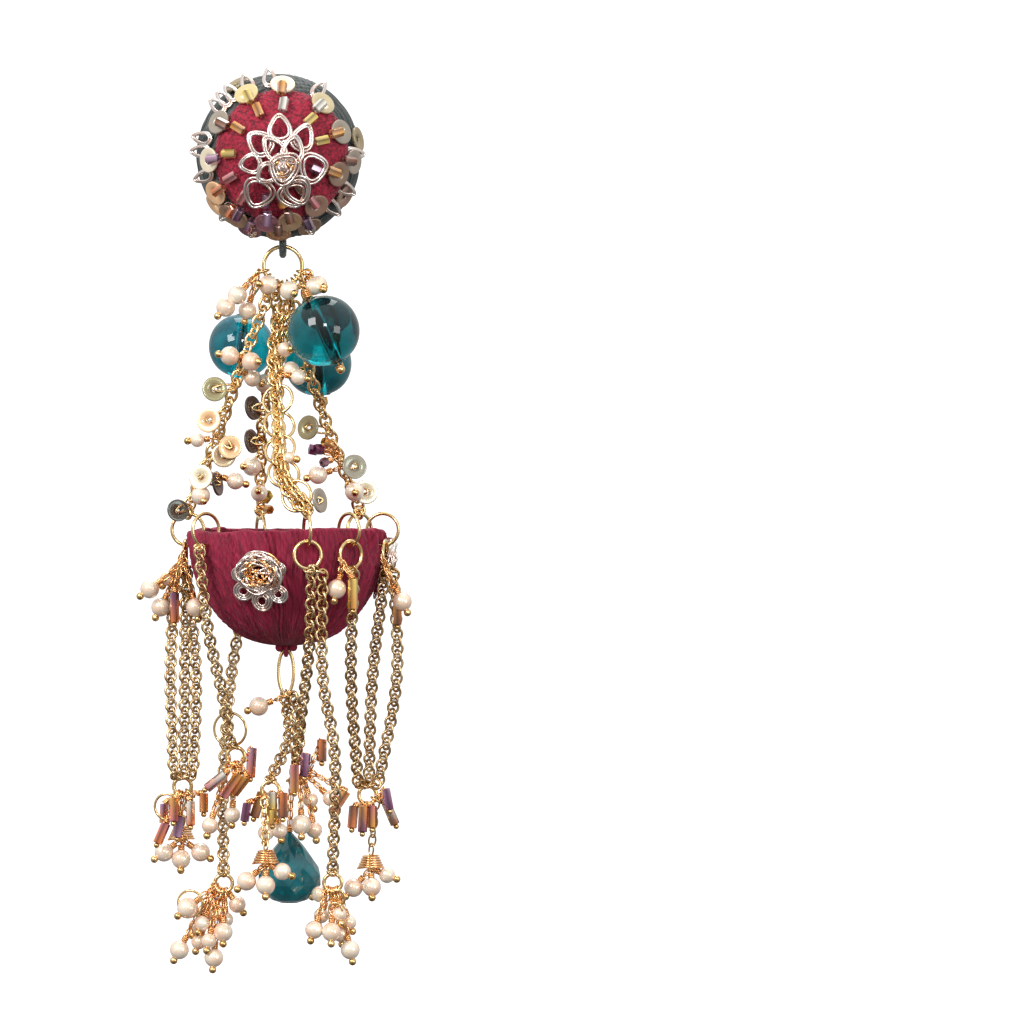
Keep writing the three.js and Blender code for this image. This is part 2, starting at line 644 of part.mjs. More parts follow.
// The ring under the bowl, through its knot, with one pearl on it.
const knotHeart = bowlCentre.z - BOWL_DEPTH - knotDrop;
const baseRingCentre = vec(BOWL_X, 0, knotHeart - BASE_RING_HEIGHT / 2);
const baseRing = oval(BASE_RING_WIDTH / 2, BASE_RING_HEIGHT / 2, RING_WIRE, 16);
piece("base_ring", baseRing, GOLD, drop).position.copy(baseRingCentre);
const baseFoot = baseRingCentre.clone().add(vec(0, 0, -BASE_RING_HEIGHT / 2));
const baseEye = baseFoot.clone().add(vec(0, 0, -eyeShift));
piece(
  "base_pearl",
  fused([
    ring(baseEye, vec(1, 0, 0), LOOP_RADIUS, LOOP_WIRE),
    ...sprayed(baseEye.clone().add(vec(0, -LOOP_RADIUS, 0)), [{ across: -2.8, depth: -0.6, down: 1.1 }]),
  ]),
  PEARL,
  drop,
);

// Hubs at the foot of the strands. Places are shares of the tassel drop from the rim's middle.
const HUBS = {
  left: vec(-0.445, -0.02, -1.095),
  inner: vec(-0.212, -0.12, -0.962),
  low_left: vec(-0.27, 0.02, -1.515),
  centre: vec(-0.06, -0.2, -1.105),
  mid: vec(0.062, -0.1, -1.03),
  right: vec(0.35, 0.06, -1.135),
  low_right: vec(0.207, -0.22, -1.5),
};
const hubAt = (name) => bowlCentre.clone().addScaledVector(HUBS[name], TASSEL_DROP);

const TASSELS = [
  {
    name: "left",
    pearls: [],
    bugles: [
      { from: [-0.9, -0.9, 0.3], to: [-0.9, -1.3, 2.7] },
      { from: [0.9, -1, 0.6], to: [0.9, -1.4, 3.1] },
      { from: [-1.7, -0.3, 2.9], to: [-2.6, -0.5, 5] },
    ],
  },
  {
    name: "inner",
    pearls: [],
    bugles: [
      { from: [-1.1, -1, 0.9], to: [-3, -1.2, 2.4] },
      { from: [0.4, -0.6, 0.9], to: [-1.3, -0.6, 3.3] },
    ],
  },
  {
    name: "low_left",
    pearls: [
      { across: -3.7, depth: -1.2, down: 1.6, size: 1.1 },
      { across: -4.6, depth: -0.2, down: 6 },
      { across: -1, depth: -0.4, down: 6.8 },
      { across: 0, depth: -1, down: 4.1 },
      { across: 1.4, depth: 0.6, down: 1.3, size: 0.9 },
    ],
    bugles: [],
  },
  {
    name: "centre",
    pearls: [],
    bugles: [
      { from: [0.2, -0.8, -0.8], to: [0.2, -0.7, 2.6] },
      { from: [1.3, -0.5, -0.7], to: [1.3, -0.6, 1.9] },
    ],
  },
  {
    name: "mid",
    pearls: [{ across: 0.2, depth: -1.2, down: 4.5, size: 1.05 }],
    bugles: [
      { from: [-0.5, -1.7, -1.7], to: [-0.5, -1.6, 1.1] },
      { from: [0.7, -1.2, -2.9], to: [0.5, -1.2, -0.5] },
      { from: [2.3, 0, -4.3], to: [2.3, -0.2, -2] },
    ],
  },
  {
    name: "right",
    pearls: [],
    bugles: [
      { from: [-1.4, -0.8, 0.2], to: [-1.6, -1.1, 2.5] },
      { from: [-0.4, -1.2, 0.2], to: [-0.5, -1.6, 2.9] },
      { from: [0.5, -0.7, 0.2], to: [0.5, -1.1, 2.5] },
    ],
  },
  {
    name: "low_right",
    pearls: [
      { across: -1.9, depth: -0.8, down: 3.9, size: 0.95 },
      { across: -0.1, depth: -1.3, down: 4.1 },
      { across: 1.8, depth: -0.2, down: 6 },
    ],
    bugles: [],
  },
];

const RIGHT = vec(1, 0, 0);

for (const { name, pearls, bugles } of TASSELS) {
  const hub = hubAt(name);
  const foot = onRing(hub, RIGHT, HUB_RADIUS, 0);
  const seat = (across) => onRing(hub, RIGHT, HUB_RADIUS, 20 * across);
  const beads = [...sprayed(foot, pearls, seat), ...bugled(foot, bugles, seat)];
  const body = fused([ring(hub, vec(0, 1, 0), HUB_RADIUS, RING_WIRE), ...beads]);
  piece("tassel_" + name, body, bugles.length ? AMBER_GLASS : PEARL, drop);
}

// Pieces that hang from a hub ring by an eye and a stem. The eye's place leans from the ring's foot by some
// degrees, and its tail leaves to the front or the rear.
function hubEye(hub, lean, side) {
  const out = vec(Math.sin(rad(lean)), 0, -Math.cos(rad(lean)));
  const centre = hubAt(hub).addScaledVector(out, HUB_RADIUS + eyeShift);
  const tangent = vec(Math.cos(rad(lean)), 0, Math.sin(rad(lean)));
  const tail = centre.clone().add(vec(0, side * LOOP_RADIUS, 0));
  return { body: ring(centre, tangent, LOOP_RADIUS, LOOP_WIRE), tail };
}

// Sprays of pearls under a coil of wire. Stems are in pearl radii.
const HUNG_SPRAYS = [
  {
    name: "left",
    hub: "left",
    lean: 48,
    side: 1,
    stem: { across: -1, depth: 1.6, down: 3.6 },
    pearls: [
      { across: -1.8, depth: -0.5, down: 1.3 },
      { across: 0, depth: -0.9, down: 2 },
      { across: 2, depth: -0.2, down: 1.3 },
    ],
  },
  {
    name: "cap",
    hub: "centre",
    lean: -40,
    side: -1,
    stem: { across: 0.3, depth: -2.2, down: 5.3 },
    pearls: [
      { across: -2, depth: -0.3, down: 1.8 },
      { across: 0, depth: -0.9, down: 2.2 },
      { across: 1.7, depth: -0.5, down: 0.8, size: 0.9 },
    ],
  },
  {
    name: "right",
    hub: "right",
    lean: 60,
    side: 1,
    stem: { across: -0.6, depth: 1.4, down: 5.9 },
    pearls: [
      { across: -1.8, depth: -0.5, down: 2 },
      { across: 0.1, depth: -1.1, down: 1.9 },
      { across: 1.7, depth: -0.2, down: 0.7, size: 0.85 },
    ],
  },
];
for (const { name, hub, lean, side, stem, pearls } of HUNG_SPRAYS) {
  const eye = hubEye(hub, lean, side);
  const top = beside(eye.tail, stem.across, stem.depth, stem.down);
  const foot = top.clone().add(vec(0, 0, -COIL_HEIGHT));
  const parts = [eye.body, rod(eye.tail, top, LOOP_WIRE), rod(top, foot, COIL_RADIUS, 10)];
  piece("pearls_" + name, fused([...parts, ...sprayed(foot, pearls)]), PEARL, drop);
}

// The cut teal drop: a faceted pear with a flat table below, hanging on its pin from the middle hub.
function briolette() {
  const stations = [
    { radius: 0, height: 0.5 },
    { radius: 0.42, height: 0.32 },
    { radius: 0.86, height: 0.06 },
    { radius: 1, height: -0.14 },
    { radius: 0.8, height: -0.36 },
    { radius: 0.4, height: -0.5 },
    { radius: 0, height: -0.5 },
  ];
  const point = ({ radius, height }) => [radius * BRIOLETTE_RADIUS, height * BRIOLETTE_HEIGHT];
  return lathe(stations.map(point), 10).rotateX(Math.PI / 2);
}

// Its place is in pearl radii from the foot of the middle hub.
const BRIOLETTE_PLACE = { across: -1.1, depth: 1.3, down: 9 };
const brioletteEye = hubEye("mid", -55, 1);
const midFoot = onRing(hubAt("mid"), RIGHT, HUB_RADIUS, 0);
const { across, depth, down } = BRIOLETTE_PLACE;
const brioletteMiddle = beside(midFoot, across, depth, down);
const brioletteTop = brioletteMiddle.clone().add(vec(0, 0, 0.45 * BRIOLETTE_HEIGHT));
piece(
  "briolette",
  fused([
    brioletteEye.body,
    rod(brioletteEye.tail, brioletteTop, LOOP_WIRE),
    briolette().translate(brioletteMiddle.x, brioletteMiddle.y, brioletteMiddle.z),
  ]),
  TEAL_GLASS,
  drop,
);

// Strands of fine curb chain. Each starts under a hanger or the base ring and ends over a hub's ring.
// Starts and ends are set beside those rings in chain radii.
const STRANDS = [
  {
    name: "left_outer",
    from: "left",
    start: { across: -2, depth: 1.6 },
    to: "left",
    end: { across: -1.6, depth: -1.1 },
    bends: [{ share: 0.5, across: -0.02, depth: 0 }],
  },
  {
    name: "left_middle",
    from: "left",
    start: { across: 0.1, depth: 1.2 },
    to: "left",
    end: { across: 0.2, depth: 1.3 },
    bends: [{ share: 0.5, across: 0, depth: 0 }],
  },
  {
    name: "left_inner",
    from: "left",
    start: { across: 0.3, depth: -1 },
    to: "left",
    end: { across: 2, depth: 0 },
    bends: [{ share: 0.5, across: 0.03, depth: 0 }],
  },
  {
    name: "left_swag",
    from: "front_left",
    start: { across: 0, depth: 0 },
    to: "inner",
    end: { across: -1, depth: -0.8 },
    bends: [
      { share: 0.4, across: -0.02, depth: -0.03 },
      { share: 0.75, across: 0, depth: 0 },
    ],
  },
  {
    name: "rear_long",
    from: "rear",
    start: { across: -1.4, depth: 0 },
    to: "low_left",
    end: { across: 0, depth: 0 },
    bends: [
      { share: 0.3, across: -0.035, depth: 0.03 },
      { share: 0.7, across: -0.03, depth: 0.03 },
    ],
  },
  {
    name: "base_left",
    from: "base",
    start: { across: -0.3, depth: 2.6 },
    to: "centre",
    end: { across: 0, depth: 0.6 },
    bends: [{ share: 0.5, across: 0.11, depth: 0.02 }],
  },
  {
    name: "base_right",
    from: "base",
    start: { across: 1.7, depth: -1.2 },
    to: "mid",
    end: { across: -0.6, depth: 2.2 },
    bends: [{ share: 0.5, across: 0.06, depth: 0.08 }],
  },
  {
    name: "front_left",
    from: "front",
    start: { across: 0.8, depth: -0.6 },
    to: "mid",
    end: { across: -0.8, depth: -0.6 },
    bends: [{ share: 0.4, across: 0.02, depth: -0.05 }],
  },
  {
    name: "front_long",
    from: "front",
    start: { across: 2.8, depth: 0.2 },
    to: "low_right",
    end: { across: 0, depth: 0 },
    bends: [
      { share: 0.35, across: -0.01, depth: -0.03 },
      { share: 0.6, across: 0.02, depth: -0.03 },
    ],
  },
  {
    name: "front_right",
    from: "front_right",
    start: { across: 0.6, depth: -0.4 },
    to: "right",
    end: { across: -1.8, depth: -1.2 },
    bends: [{ share: 0.5, across: -0.02, depth: -0.05 }],
  },
  {
    name: "right_inner",
    from: "right",
    start: { across: 0, depth: -1 },
    to: "right",
    end: { across: 0.2, depth: 0.8 },
    bends: [{ share: 0.5, across: -0.02, depth: 0 }],
  },
  {
    name: "right_outer",
    from: "right",
    start: { across: 1.6, depth: 0.8 },
    to: "right",
    end: { across: 2.1, depth: 0 },
    bends: [{ share: 0.5, across: 0.05, depth: 0 }],
  },
];

function footOf(name) {
  if (name === "base") return baseFoot.clone();
  const beside = RIM_PLACES[name];
  if (RIM_DROPS.some((row) => row.name === name)) return hangerCentre(beside).add(vec(0, 0, -HANGER_RADIUS));
  return besideBowl(beside, hangerAt + CHAIN_RADIUS, rimRingUp - RIM_RING_RADIUS);
}

for (const { name, from, start, to, end, bends } of STRANDS) {
  const top = footOf(from).add(vec(start.across, start.depth, 0).multiplyScalar(CHAIN_RADIUS));
  top.z -= RING_WIRE + GAP;
  const bottom = hubAt(to).add(vec(end.across, end.depth, 0).multiplyScalar(CHAIN_RADIUS));
  bottom.z += HUB_RADIUS + RING_WIRE + GAP;
  piece("strand_" + name, tube(routed(top, bottom, bends)), ANTIQUE_GOLD, drop);
}

export default root;
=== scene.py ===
"""The visual model of a chandelier earring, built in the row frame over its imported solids.

Sizes are in millimetres and angles in degrees. +X is the viewer's right, -Y faces the viewer and +Z is up.
"""

import logging
from dataclasses import dataclass
from enum import Enum
from typing import ClassVar

import bpy
import numpy as np
from mathutils import Matrix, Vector
from numpy.typing import NDArray


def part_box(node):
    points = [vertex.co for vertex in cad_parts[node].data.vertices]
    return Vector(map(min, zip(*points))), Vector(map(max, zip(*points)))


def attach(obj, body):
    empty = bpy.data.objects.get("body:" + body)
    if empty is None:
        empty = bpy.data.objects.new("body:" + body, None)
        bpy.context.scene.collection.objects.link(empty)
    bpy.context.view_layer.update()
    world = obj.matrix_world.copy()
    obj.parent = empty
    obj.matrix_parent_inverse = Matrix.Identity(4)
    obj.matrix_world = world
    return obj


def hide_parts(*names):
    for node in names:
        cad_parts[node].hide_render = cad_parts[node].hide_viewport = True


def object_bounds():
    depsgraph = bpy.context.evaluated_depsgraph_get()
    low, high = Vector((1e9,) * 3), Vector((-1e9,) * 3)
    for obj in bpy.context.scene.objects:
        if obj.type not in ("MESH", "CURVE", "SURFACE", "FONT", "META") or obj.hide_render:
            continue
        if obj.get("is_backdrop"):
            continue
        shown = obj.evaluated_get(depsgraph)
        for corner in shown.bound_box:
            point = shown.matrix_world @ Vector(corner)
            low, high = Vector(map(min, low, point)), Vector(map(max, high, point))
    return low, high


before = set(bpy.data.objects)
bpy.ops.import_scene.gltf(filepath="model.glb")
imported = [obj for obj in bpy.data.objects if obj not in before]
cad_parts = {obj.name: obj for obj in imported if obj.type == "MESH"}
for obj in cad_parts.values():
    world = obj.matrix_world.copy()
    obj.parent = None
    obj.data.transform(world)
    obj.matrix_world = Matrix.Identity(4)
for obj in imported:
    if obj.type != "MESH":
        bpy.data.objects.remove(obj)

Array = NDArray[np.float64]
Colour = tuple[float, float, float]

MM = 0.001
WHITE: Colour = (1.0, 1.0, 1.0)
FULL_TURN = 360.0
log = logging.getLogger("earring")

# Sizes that several pieces share, the same as in the solids
GAP = 0.12
PEARL_RADIUS = 1.2
BALL_RADIUS = 0.58
LOOP_RADIUS = 0.7
LOOP_WIRE = 0.17
RING_WIRE = 0.25
FLOWER_WIRE = 0.15
TOP_RING_RADIUS = 2.4
CHAIN_RADIUS = 0.65
SEQUIN_RADIUS = 1.55
BUGLE_RADIUS = 0.6
BOWL_RADIUS = 12.2
BOWL_DEPTH = 14.2
BOWL_WALL = 1.2
RIM_RING_RADIUS = 2.0
RIM_RING_WIRE = 0.22
HANGER_RADIUS = 1.7
HUB_RADIUS = 1.1
EYE_SHIFT = LOOP_RADIUS - LOOP_WIRE - RING_WIRE - GAP


def vec(x: float, y: float, z: float) -> Array:
    """Returns a point or direction."""
    return np.array([x, y, z], dtype=float)


def unit(vectors: Array) -> Array:
    """Scales vectors to length 1.

    Args:
        vectors: One vector, or an array of them along the last axis.

    Returns:
        The same directions at length 1.
    """
    return vectors / np.linalg.norm(vectors, axis=-1, keepdims=True)


def sind(degrees: float | Array) -> float | Array:
    """Returns the sine of an angle in degrees."""
    return np.sin(np.radians(degrees))


def cosd(degrees: float | Array) -> float | Array:
    """Returns the cosine of an angle in degrees."""
    return np.cos(np.radians(degrees))


def stacked(x: float | Array, y: float | Array, z: float | Array) -> Array:
    """Returns points from their coordinates, which broadcast to one shape."""
    return np.stack(np.broadcast_arrays(x, y, z), axis=-1)


def round_angles(count: int) -> Array:
    """Returns angles at even steps of a full turn, the last one a step short of it."""
    return np.linspace(0, FULL_TURN, count, endpoint=False)


class Look(Enum):
    """The finishes that the faces of a piece can have."""

    GOLD = "gold_wire"
    ANTIQUE = "antique_chain"
    COPPER = "copper_wire"
    SILVER = "silver_wire"
    PEARL = "pearl"
    TEAL = "teal_glass"
    CUT_TEAL = "cut_teal_glass"
    SEQUIN = "sequin"
    BUGLE = "bugle_glass"
    SILK = "maroon_silk"
    VELVET = "crimson_velvet"
    THREAD = "green_thread"


class Mapping(Enum):
    """What the noise in a finish follows."""

    OBJECT = "the row frame"
    WEAVE = "the weave attribute of the mesh"


@dataclass(frozen=True)
class Finish:
    """A node material made from a few plain values.

    Args:
        colour: The main colour, linear.
        second: The colour that noise mixes in.
        patch: The size of the mixed patches, in millimetres or weave units.
        metallic: How far it is metal, from 0 to 1.
        roughness: How far it spreads what it reflects, from 0 to 1.
        coat: The weight of a clear coat.
        sheen: The weight of the sheen of fine fibres.
        transmission: How far light passes through, from 0 to 1.
        subsurface: How far light spreads under the surface, from 0 to 1.
        film: The thickness of a thin film, in nanometres.
        grain: The height of the bump, in millimetres.
        grain_size: The width of a grain, in millimetres or weave units.
        tinted: True if the tint of the mesh multiplies the colour.
        mapping: What the noise follows.
    """

    colour: Colour
    second: Colour | None = None
    patch: float = 1.0
    metallic: float = 0.0
    roughness: float = 0.4
    coat: float = 0.0
    sheen: float = 0.0
    transmission: float = 0.0
    subsurface: float = 0.0
    film: float = 0.0
    grain: float = 0.0
    grain_size: float = 0.3
    tinted: bool = False
    mapping: Mapping = Mapping.OBJECT

    COAT_ROUGHNESS: ClassVar[float] = 0.06
    SHEEN_ROUGHNESS: ClassVar[float] = 0.4
    GLASS_IOR: ClassVar[float] = 1.5
    MIX_EDGES: ClassVar[tuple[float, float]] = (0.38, 0.62)

    def material(self, name: str) -> bpy.types.Material:
        """Builds the node material.

        Args:
            name: The material's name.

        Returns:
            The material.
        """
        material = bpy.data.materials.new(name)
        material.use_nodes = True
        tree = material.node_tree
        shader = tree.nodes["Principled BSDF"]
        values = {
            "Base Color": (*self.colour, 1.0),
            "Metallic": self.metallic,
            "Roughness": self.roughness,
            "Coat Weight": self.coat,
            "Coat Roughness": self.COAT_ROUGHNESS,
            "Sheen Weight": self.sheen,
            "Sheen Roughness": self.SHEEN_ROUGHNESS,
            "Transmission Weight": self.transmission,
            "IOR": self.GLASS_IOR,
            "Subsurface Weight": self.subsurface,
            "Subsurface Scale": MM,
            "Thin Film Thickness": self.film,
        }
        for socket, value in values.items():
            shader.inputs[socket].default_value = value
        colour = self._mixed(tree)
        if colour is not None:
            tree.links.new(colour, shader.inputs["Base Color"])
        if self.grain:
            bump = tree.nodes.new("ShaderNodeBump")
            bump.inputs["Distance"].default_value = self.grain * MM
            bump.inputs["Strength"].default_value = 1.0
            tree.links.new(self._noise(tree, self.grain_size, 3.0), bump.inputs["Height"])
            tree.links.new(bump.outputs["Normal"], shader.inputs["Normal"])
        return material

    def _noise(self, tree: bpy.types.NodeTree, size: float, detail: float) -> bpy.types.NodeSocket:
        """Adds a noise texture.

        Args:
            tree: The material's tree.
            size: The width of a spot, in millimetres or weave units.
            detail: The number of finer layers.

        Returns:
            The noise's factor.
        """
        noise = tree.nodes.new("ShaderNodeTexNoise")
        noise.inputs["Detail"].default_value = detail
        if self.mapping is Mapping.WEAVE:
            noise.inputs["Scale"].default_value = 1.0 / size
            source = tree.nodes.new("ShaderNodeAttribute")
            source.attribute_name = "weave"
            tree.links.new(source.outputs["Vector"], noise.inputs["Vector"])
        else:
            noise.inputs["Scale"].default_value = 1.0 / (size * MM)
            source = tree.nodes.new("ShaderNodeTexCoord")
            tree.links.new(source.outputs["Object"], noise.inputs["Vector"])
        return noise.outputs["Fac"]

    def _mixed(self, tree: bpy.types.NodeTree) -> bpy.types.NodeSocket | None:
        """Adds the nodes for the second colour and the tint.

        Args:
            tree: The material's tree.

        Returns:
            The colour's socket, or None if the colour is plain.
        """
        colour = None
        if self.second is not None:
            ramp = tree.nodes.new("ShaderNodeValToRGB")
            shades = (self.second, self.colour)
            for element, edge, shade in zip(ramp.color_ramp.elements, self.MIX_EDGES, shades):
                element.position = edge
                element.color = (*shade, 1.0)
            tree.links.new(self._noise(tree, self.patch, 2.0), ramp.inputs["Fac"])
            colour = ramp.outputs["Color"]
        if self.tinted:
            tint = tree.nodes.new("ShaderNodeAttribute")
            tint.attribute_name = "tint"
            if colour is None:
                return tint.outputs["Color"]
            mix = tree.nodes.new("ShaderNodeMix")
            mix.data_type = "RGBA"
            mix.blend_type = "MULTIPLY"
            mix.inputs["Factor"].default_value = 1.0
            # A colour mix has its colours at sockets 6 and 7, and its result at 2.
            tree.links.new(colour, mix.inputs[6])
            tree.links.new(tint.outputs["Color"], mix.inputs[7])
            colour = mix.outputs[2]
        return colour


FINISHES: dict[Look, Finish] = {
    Look.GOLD: Finish(
        (0.92, 0.68, 0.36), second=(0.68, 0.44, 0.18), patch=2.0, metallic=1, roughness=0.18, tinted=True
    ),
    Look.ANTIQUE: Finish(
        (0.8, 0.6, 0.34), second=(0.4, 0.24, 0.1), patch=1.0, metallic=1, roughness=0.26, tinted=True
    ),
    Look.COPPER: Finish((0.96, 0.6, 0.29), second=(0.84, 0.44, 0.17), patch=1.5, metallic=1, roughness=0.2),
    Look.SILVER: Finish((0.88, 0.81, 0.77), second=(0.8, 0.62, 0.54), patch=1.6, metallic=1, roughness=0.2),
    Look.PEARL: Finish(
        (1.0, 0.85, 0.69),
        second=(0.98, 0.68, 0.5),
        patch=2.2,
        metallic=0.3,
        roughness=0.22,
        coat=1,
        subsurface=0.08,
        film=430.0,
    ),
    Look.TEAL: Finish(
        (0.0, 0.148, 0.165),
        # The second colour is painted shade: dark patches at random in place of the dark refraction in the
        # glass.
        second=(0.0, 0.038, 0.047),
        patch=3.5,
        roughness=0.02,
        transmission=1,
        tinted=True,
    ),
    Look.CUT_TEAL: Finish(
        (0.0, 0.19, 0.225),
        second=(0.0, 0.085, 0.105),
        patch=2.5,
        roughness=0.02,
        transmission=0.3,
        coat=0.3,
    ),
    Look.SEQUIN: Finish(WHITE, roughness=0.25, coat=0.7, film=380.0, metallic=0.2, tinted=True),
    Look.BUGLE: Finish(WHITE, roughness=0.05, coat=1, metallic=0.5, transmission=0.4, tinted=True),
    Look.SILK: Finish(
        (0.32, 0.006, 0.044),
        second=(0.19, 0.004, 0.027),
        patch=0.7,
        roughness=0.75,
        sheen=0.12,
        grain=0.16,
        grain_size=0.5,
        mapping=Mapping.WEAVE,
    ),
    Look.VELVET: Finish(
        (0.44, 0.008, 0.042), second=(0.15, 0.002, 0.014), patch=0.4, roughness=0.7, sheen=0.3, grain=0.16
    ),
    Look.THREAD: Finish(
        (0.008, 0.018, 0.016),
        second=(0.09, 0.1, 0.095),
        patch=1.1,
        roughness=0.45,
        sheen=0.2,
        grain=0.1,
        grain_size=0.5,
        mapping=Mapping.WEAVE,
    ),
}


class Palette:
    """Makes each finish's material once."""

    def __init__(self) -> None:
        """Starts with no materials."""
        self.made: dict[Look, bpy.types.Material] = {}

    def material(self, look: Look) -> bpy.types.Material:
        """Makes the material of a finish at its first use.

        Args:
            look: The finish.

        Returns:
            The material.
        """
        if look not in self.made:
            self.made[look] = FINISHES[look].material(look.value)
        return self.made[look]


@dataclass
class Block:
    """Faces with the same number of corners and one finish.

    Args:
        corners: The numbers of the corner points, a face in each row.
        look: The finish.
        smooth: True for smooth shading.
    """

    corners: NDArray[np.int64]
    look: Look
    smooth: bool


class Shell:
    """A mesh in the making, with a tint and a weave coordinate for each point."""

    def __init__(
        self, points: Array, blocks: list[Block], tints: Array | None = None, weave: Array | None = None
    ) -> None:
        """Takes points and faces.

        Args:
            points: Points in millimetres, one in each row.
            blocks: The faces.
            tints: A colour for each point. White if left out.
            weave: Where each point is along and across its threads. The points themselves if left out.
        """
        self.points = points
        self.blocks = blocks
        self.tints = np.ones_like(points) if tints is None else tints
        self.weave = points if weave is None else weave

    @staticmethod
    def joined(shells: list["Shell"]) -> "Shell":
        """Joins shells.

        Args:
            shells: The shells.

        Returns:
            All of them as one.
        """
        starts = np.cumsum([0] + [len(shell.points) for shell in shells])
        blocks = [
            Block(block.corners + start, block.look, block.smooth)
            for shell, start in zip(shells, starts)
            for block in shell.blocks
        ]
        points = np.concatenate([shell.points for shell in shells])
        tints = np.concatenate([shell.tints for shell in shells])
        return Shell(points, blocks, tints, np.concatenate([shell.weave for shell in shells]))

    def tinted(self, colour: Colour | Array) -> "Shell":
        """Returns this shell in one tint, or in a tint for each point."""
        tints = np.broadcast_to(np.asarray(colour, dtype=float), self.points.shape)
        return Shell(self.points, self.blocks, tints.copy(), self.weave)

    def at(self, *places: Array) -> "Shell":
        """Copies this shell to places. A point goes to the matrix times the point, plus the matrix's shift.

        Args:
            places: 4 by 4 matrices, or arrays of them.

        Returns:
            The copies as one shell.
        """
        frames = np.concatenate([np.atleast_3d(place).reshape(-1, 4, 4) for place in places])
        count, size = len(frames), len(self.points)
        points = np.einsum("kij,vj->kvi", frames[:, :3, :3], self.points) + frames[:, None, :3, 3]
        shift = (np.arange(count) * size)[:, None, None]
        blocks = []
        for block in self.blocks:
            corners = (block.corners[None] + shift).reshape(-1, block.corners.shape[1])
            blocks.append(Block(corners, block.look, block.smooth))
        tints = np.tile(self.tints, (count, 1))
        return Shell(points.reshape(-1, 3), blocks, tints, np.tile(self.weave, (count, 1)))

    def sealed(self) -> "Shell":
        """Turns the faces of this closed shell outwards.

        The sum over all face fans of the box product of their corners is six times the volume, and is
        negative where the faces look inwards.

        Returns:
            This shell.
        """
        volume = 0.0
        for block in self.blocks:
            corners = self.points[block.corners]
            first = corners[:, :1]
            fans = np.cross(corners[:, 1:-1] - first, corners[:, 2:] - first)
            volume += float(np.sum(first * fans))
        if volume < 0:
            self.blocks = [Block(b.corners[:, ::-1], b.look, b.smooth) for b in self.blocks]
        return self


def grid(
    points: Array,
    look: Look,
    close_rows: bool = True,
    close_columns: bool = True,
    smooth: bool = True,
    weave: Array | None = None,
) -> Shell:
    """Makes a shell from rows and columns of points, with a quad between each four neighbours.

    Rows that aren't closed get a cap at each end.

    Args:
        points: Points as rows, columns and coordinates.
        look: The finish.
        close_rows: True if the last row meets the first.
        close_columns: True if the last column meets the first.
        smooth: True for smooth shading.
        weave: The weave coordinates, in the shape of points.

    Returns:
        The shell.
    """
    rows, columns = points.shape[:2]
    index = np.arange(rows * columns).reshape(rows, columns)
    caps = [] if close_rows else [index[:1], index[-1:, ::-1]]
    if close_rows:
        index = np.concatenate([index, index[:1]])
    if close_columns:
        index = np.concatenate([index, index[:, :1]], axis=1)
    quads = np.stack([index[:-1, :-1], index[1:, :-1], index[1:, 1:], index[:-1, 1:]], axis=-1)
    blocks = [Block(quads.reshape(-1, 4), look, smooth)] + [Block(cap, look, False) for cap in caps]
    flat = None if weave is None else weave.reshape(-1, 3)
    return Shell(points.reshape(-1, 3), blocks, weave=flat).sealed()


def lathe(
    profile: Array, look: Look, segments: int = 24, closed: bool = True, smooth: bool = True
) -> Shell:
    """Turns a profile about +Z: x and y are the radius times the cosine and the sine of the turn.

    Args:
        profile: Radius and height in each row.
        look: The finish.
        segments: Steps round the axis.
        closed: True if the profile is a ring, False if caps close its ends.
        smooth: True for smooth shading.

    Returns:
        The shell.
    """
    turn = round_angles(segments)
    radius, height = profile[:, :1], profile[:, 1:]
    points = stacked(radius * cosd(turn), radius * sind(turn), height)
    return grid(points, look, close_rows=closed, smooth=smooth)


def sweep(
    path: Array, wire: float | Array, look: Look, side: Array, sides: int = 8, closed: bool = False
) -> Shell:
    """Draws round wire along a path.

    Each point of the path gets a circle across it: the wire's radius times the cosine of the turn towards
    the side, and times the sine at a right angle to it.

    Args:
        path: Points in rows.
        wire: The wire's radius, or one for each point.
        look: The finish.
        side: A direction, or one for each point, that is never along the path.
        sides: Steps round the wire.
        closed: True if the path is a ring.

    Returns:
        The shell.
    """
    if closed:
        along = unit(np.roll(path, -1, axis=0) - np.roll(path, 1, axis=0))
    else:
        along = unit(np.gradient(path, axis=0))
    reach = np.broadcast_to(side, path.shape)
    first = unit(reach - np.sum(reach * along, axis=1, keepdims=True) * along)
    second = np.cross(along, first)
    turn = round_angles(sides)[None, :, None]
    radius = np.broadcast_to(np.asarray(wire, dtype=float).reshape(-1, 1, 1), (len(path), 1, 1))
    points = path[:, None] + radius * (cosd(turn) * first[:, None] + sind(turn) * second[:, None])
    return grid(points, look, close_rows=closed)


def aim(centre: Array, axis: Array, side: Array | None = None) -> Array:
    """Makes placing matrices that turn +Z onto an axis.

    Args:
        centre: Where the origin goes, a point or an array of them.
        axis: Where +Z goes, a direction or an array of them.
        side: Roughly where +X goes.

    Returns:
        A 4 by 4 matrix, or an array of them.
    """
    centre, axis = np.atleast_2d(centre), unit(np.atleast_2d(axis))
    centre, axis = np.broadcast_arrays(centre, axis)
    hint = np.where(np.abs(axis[:, :1]) > 0.9, vec(0, 1, 0), vec(1, 0, 0)) if side is None else side
    hint = np.broadcast_to(hint, axis.shape)
    first = unit(hint - np.sum(hint * axis, axis=1, keepdims=True) * axis)
    frames = np.tile(np.eye(4), (len(axis), 1, 1))
    frames[:, :3, 0] = first
    frames[:, :3, 1] = np.cross(axis, first)
    frames[:, :3, 2] = axis
    frames[:, :3, 3] = centre
    return frames


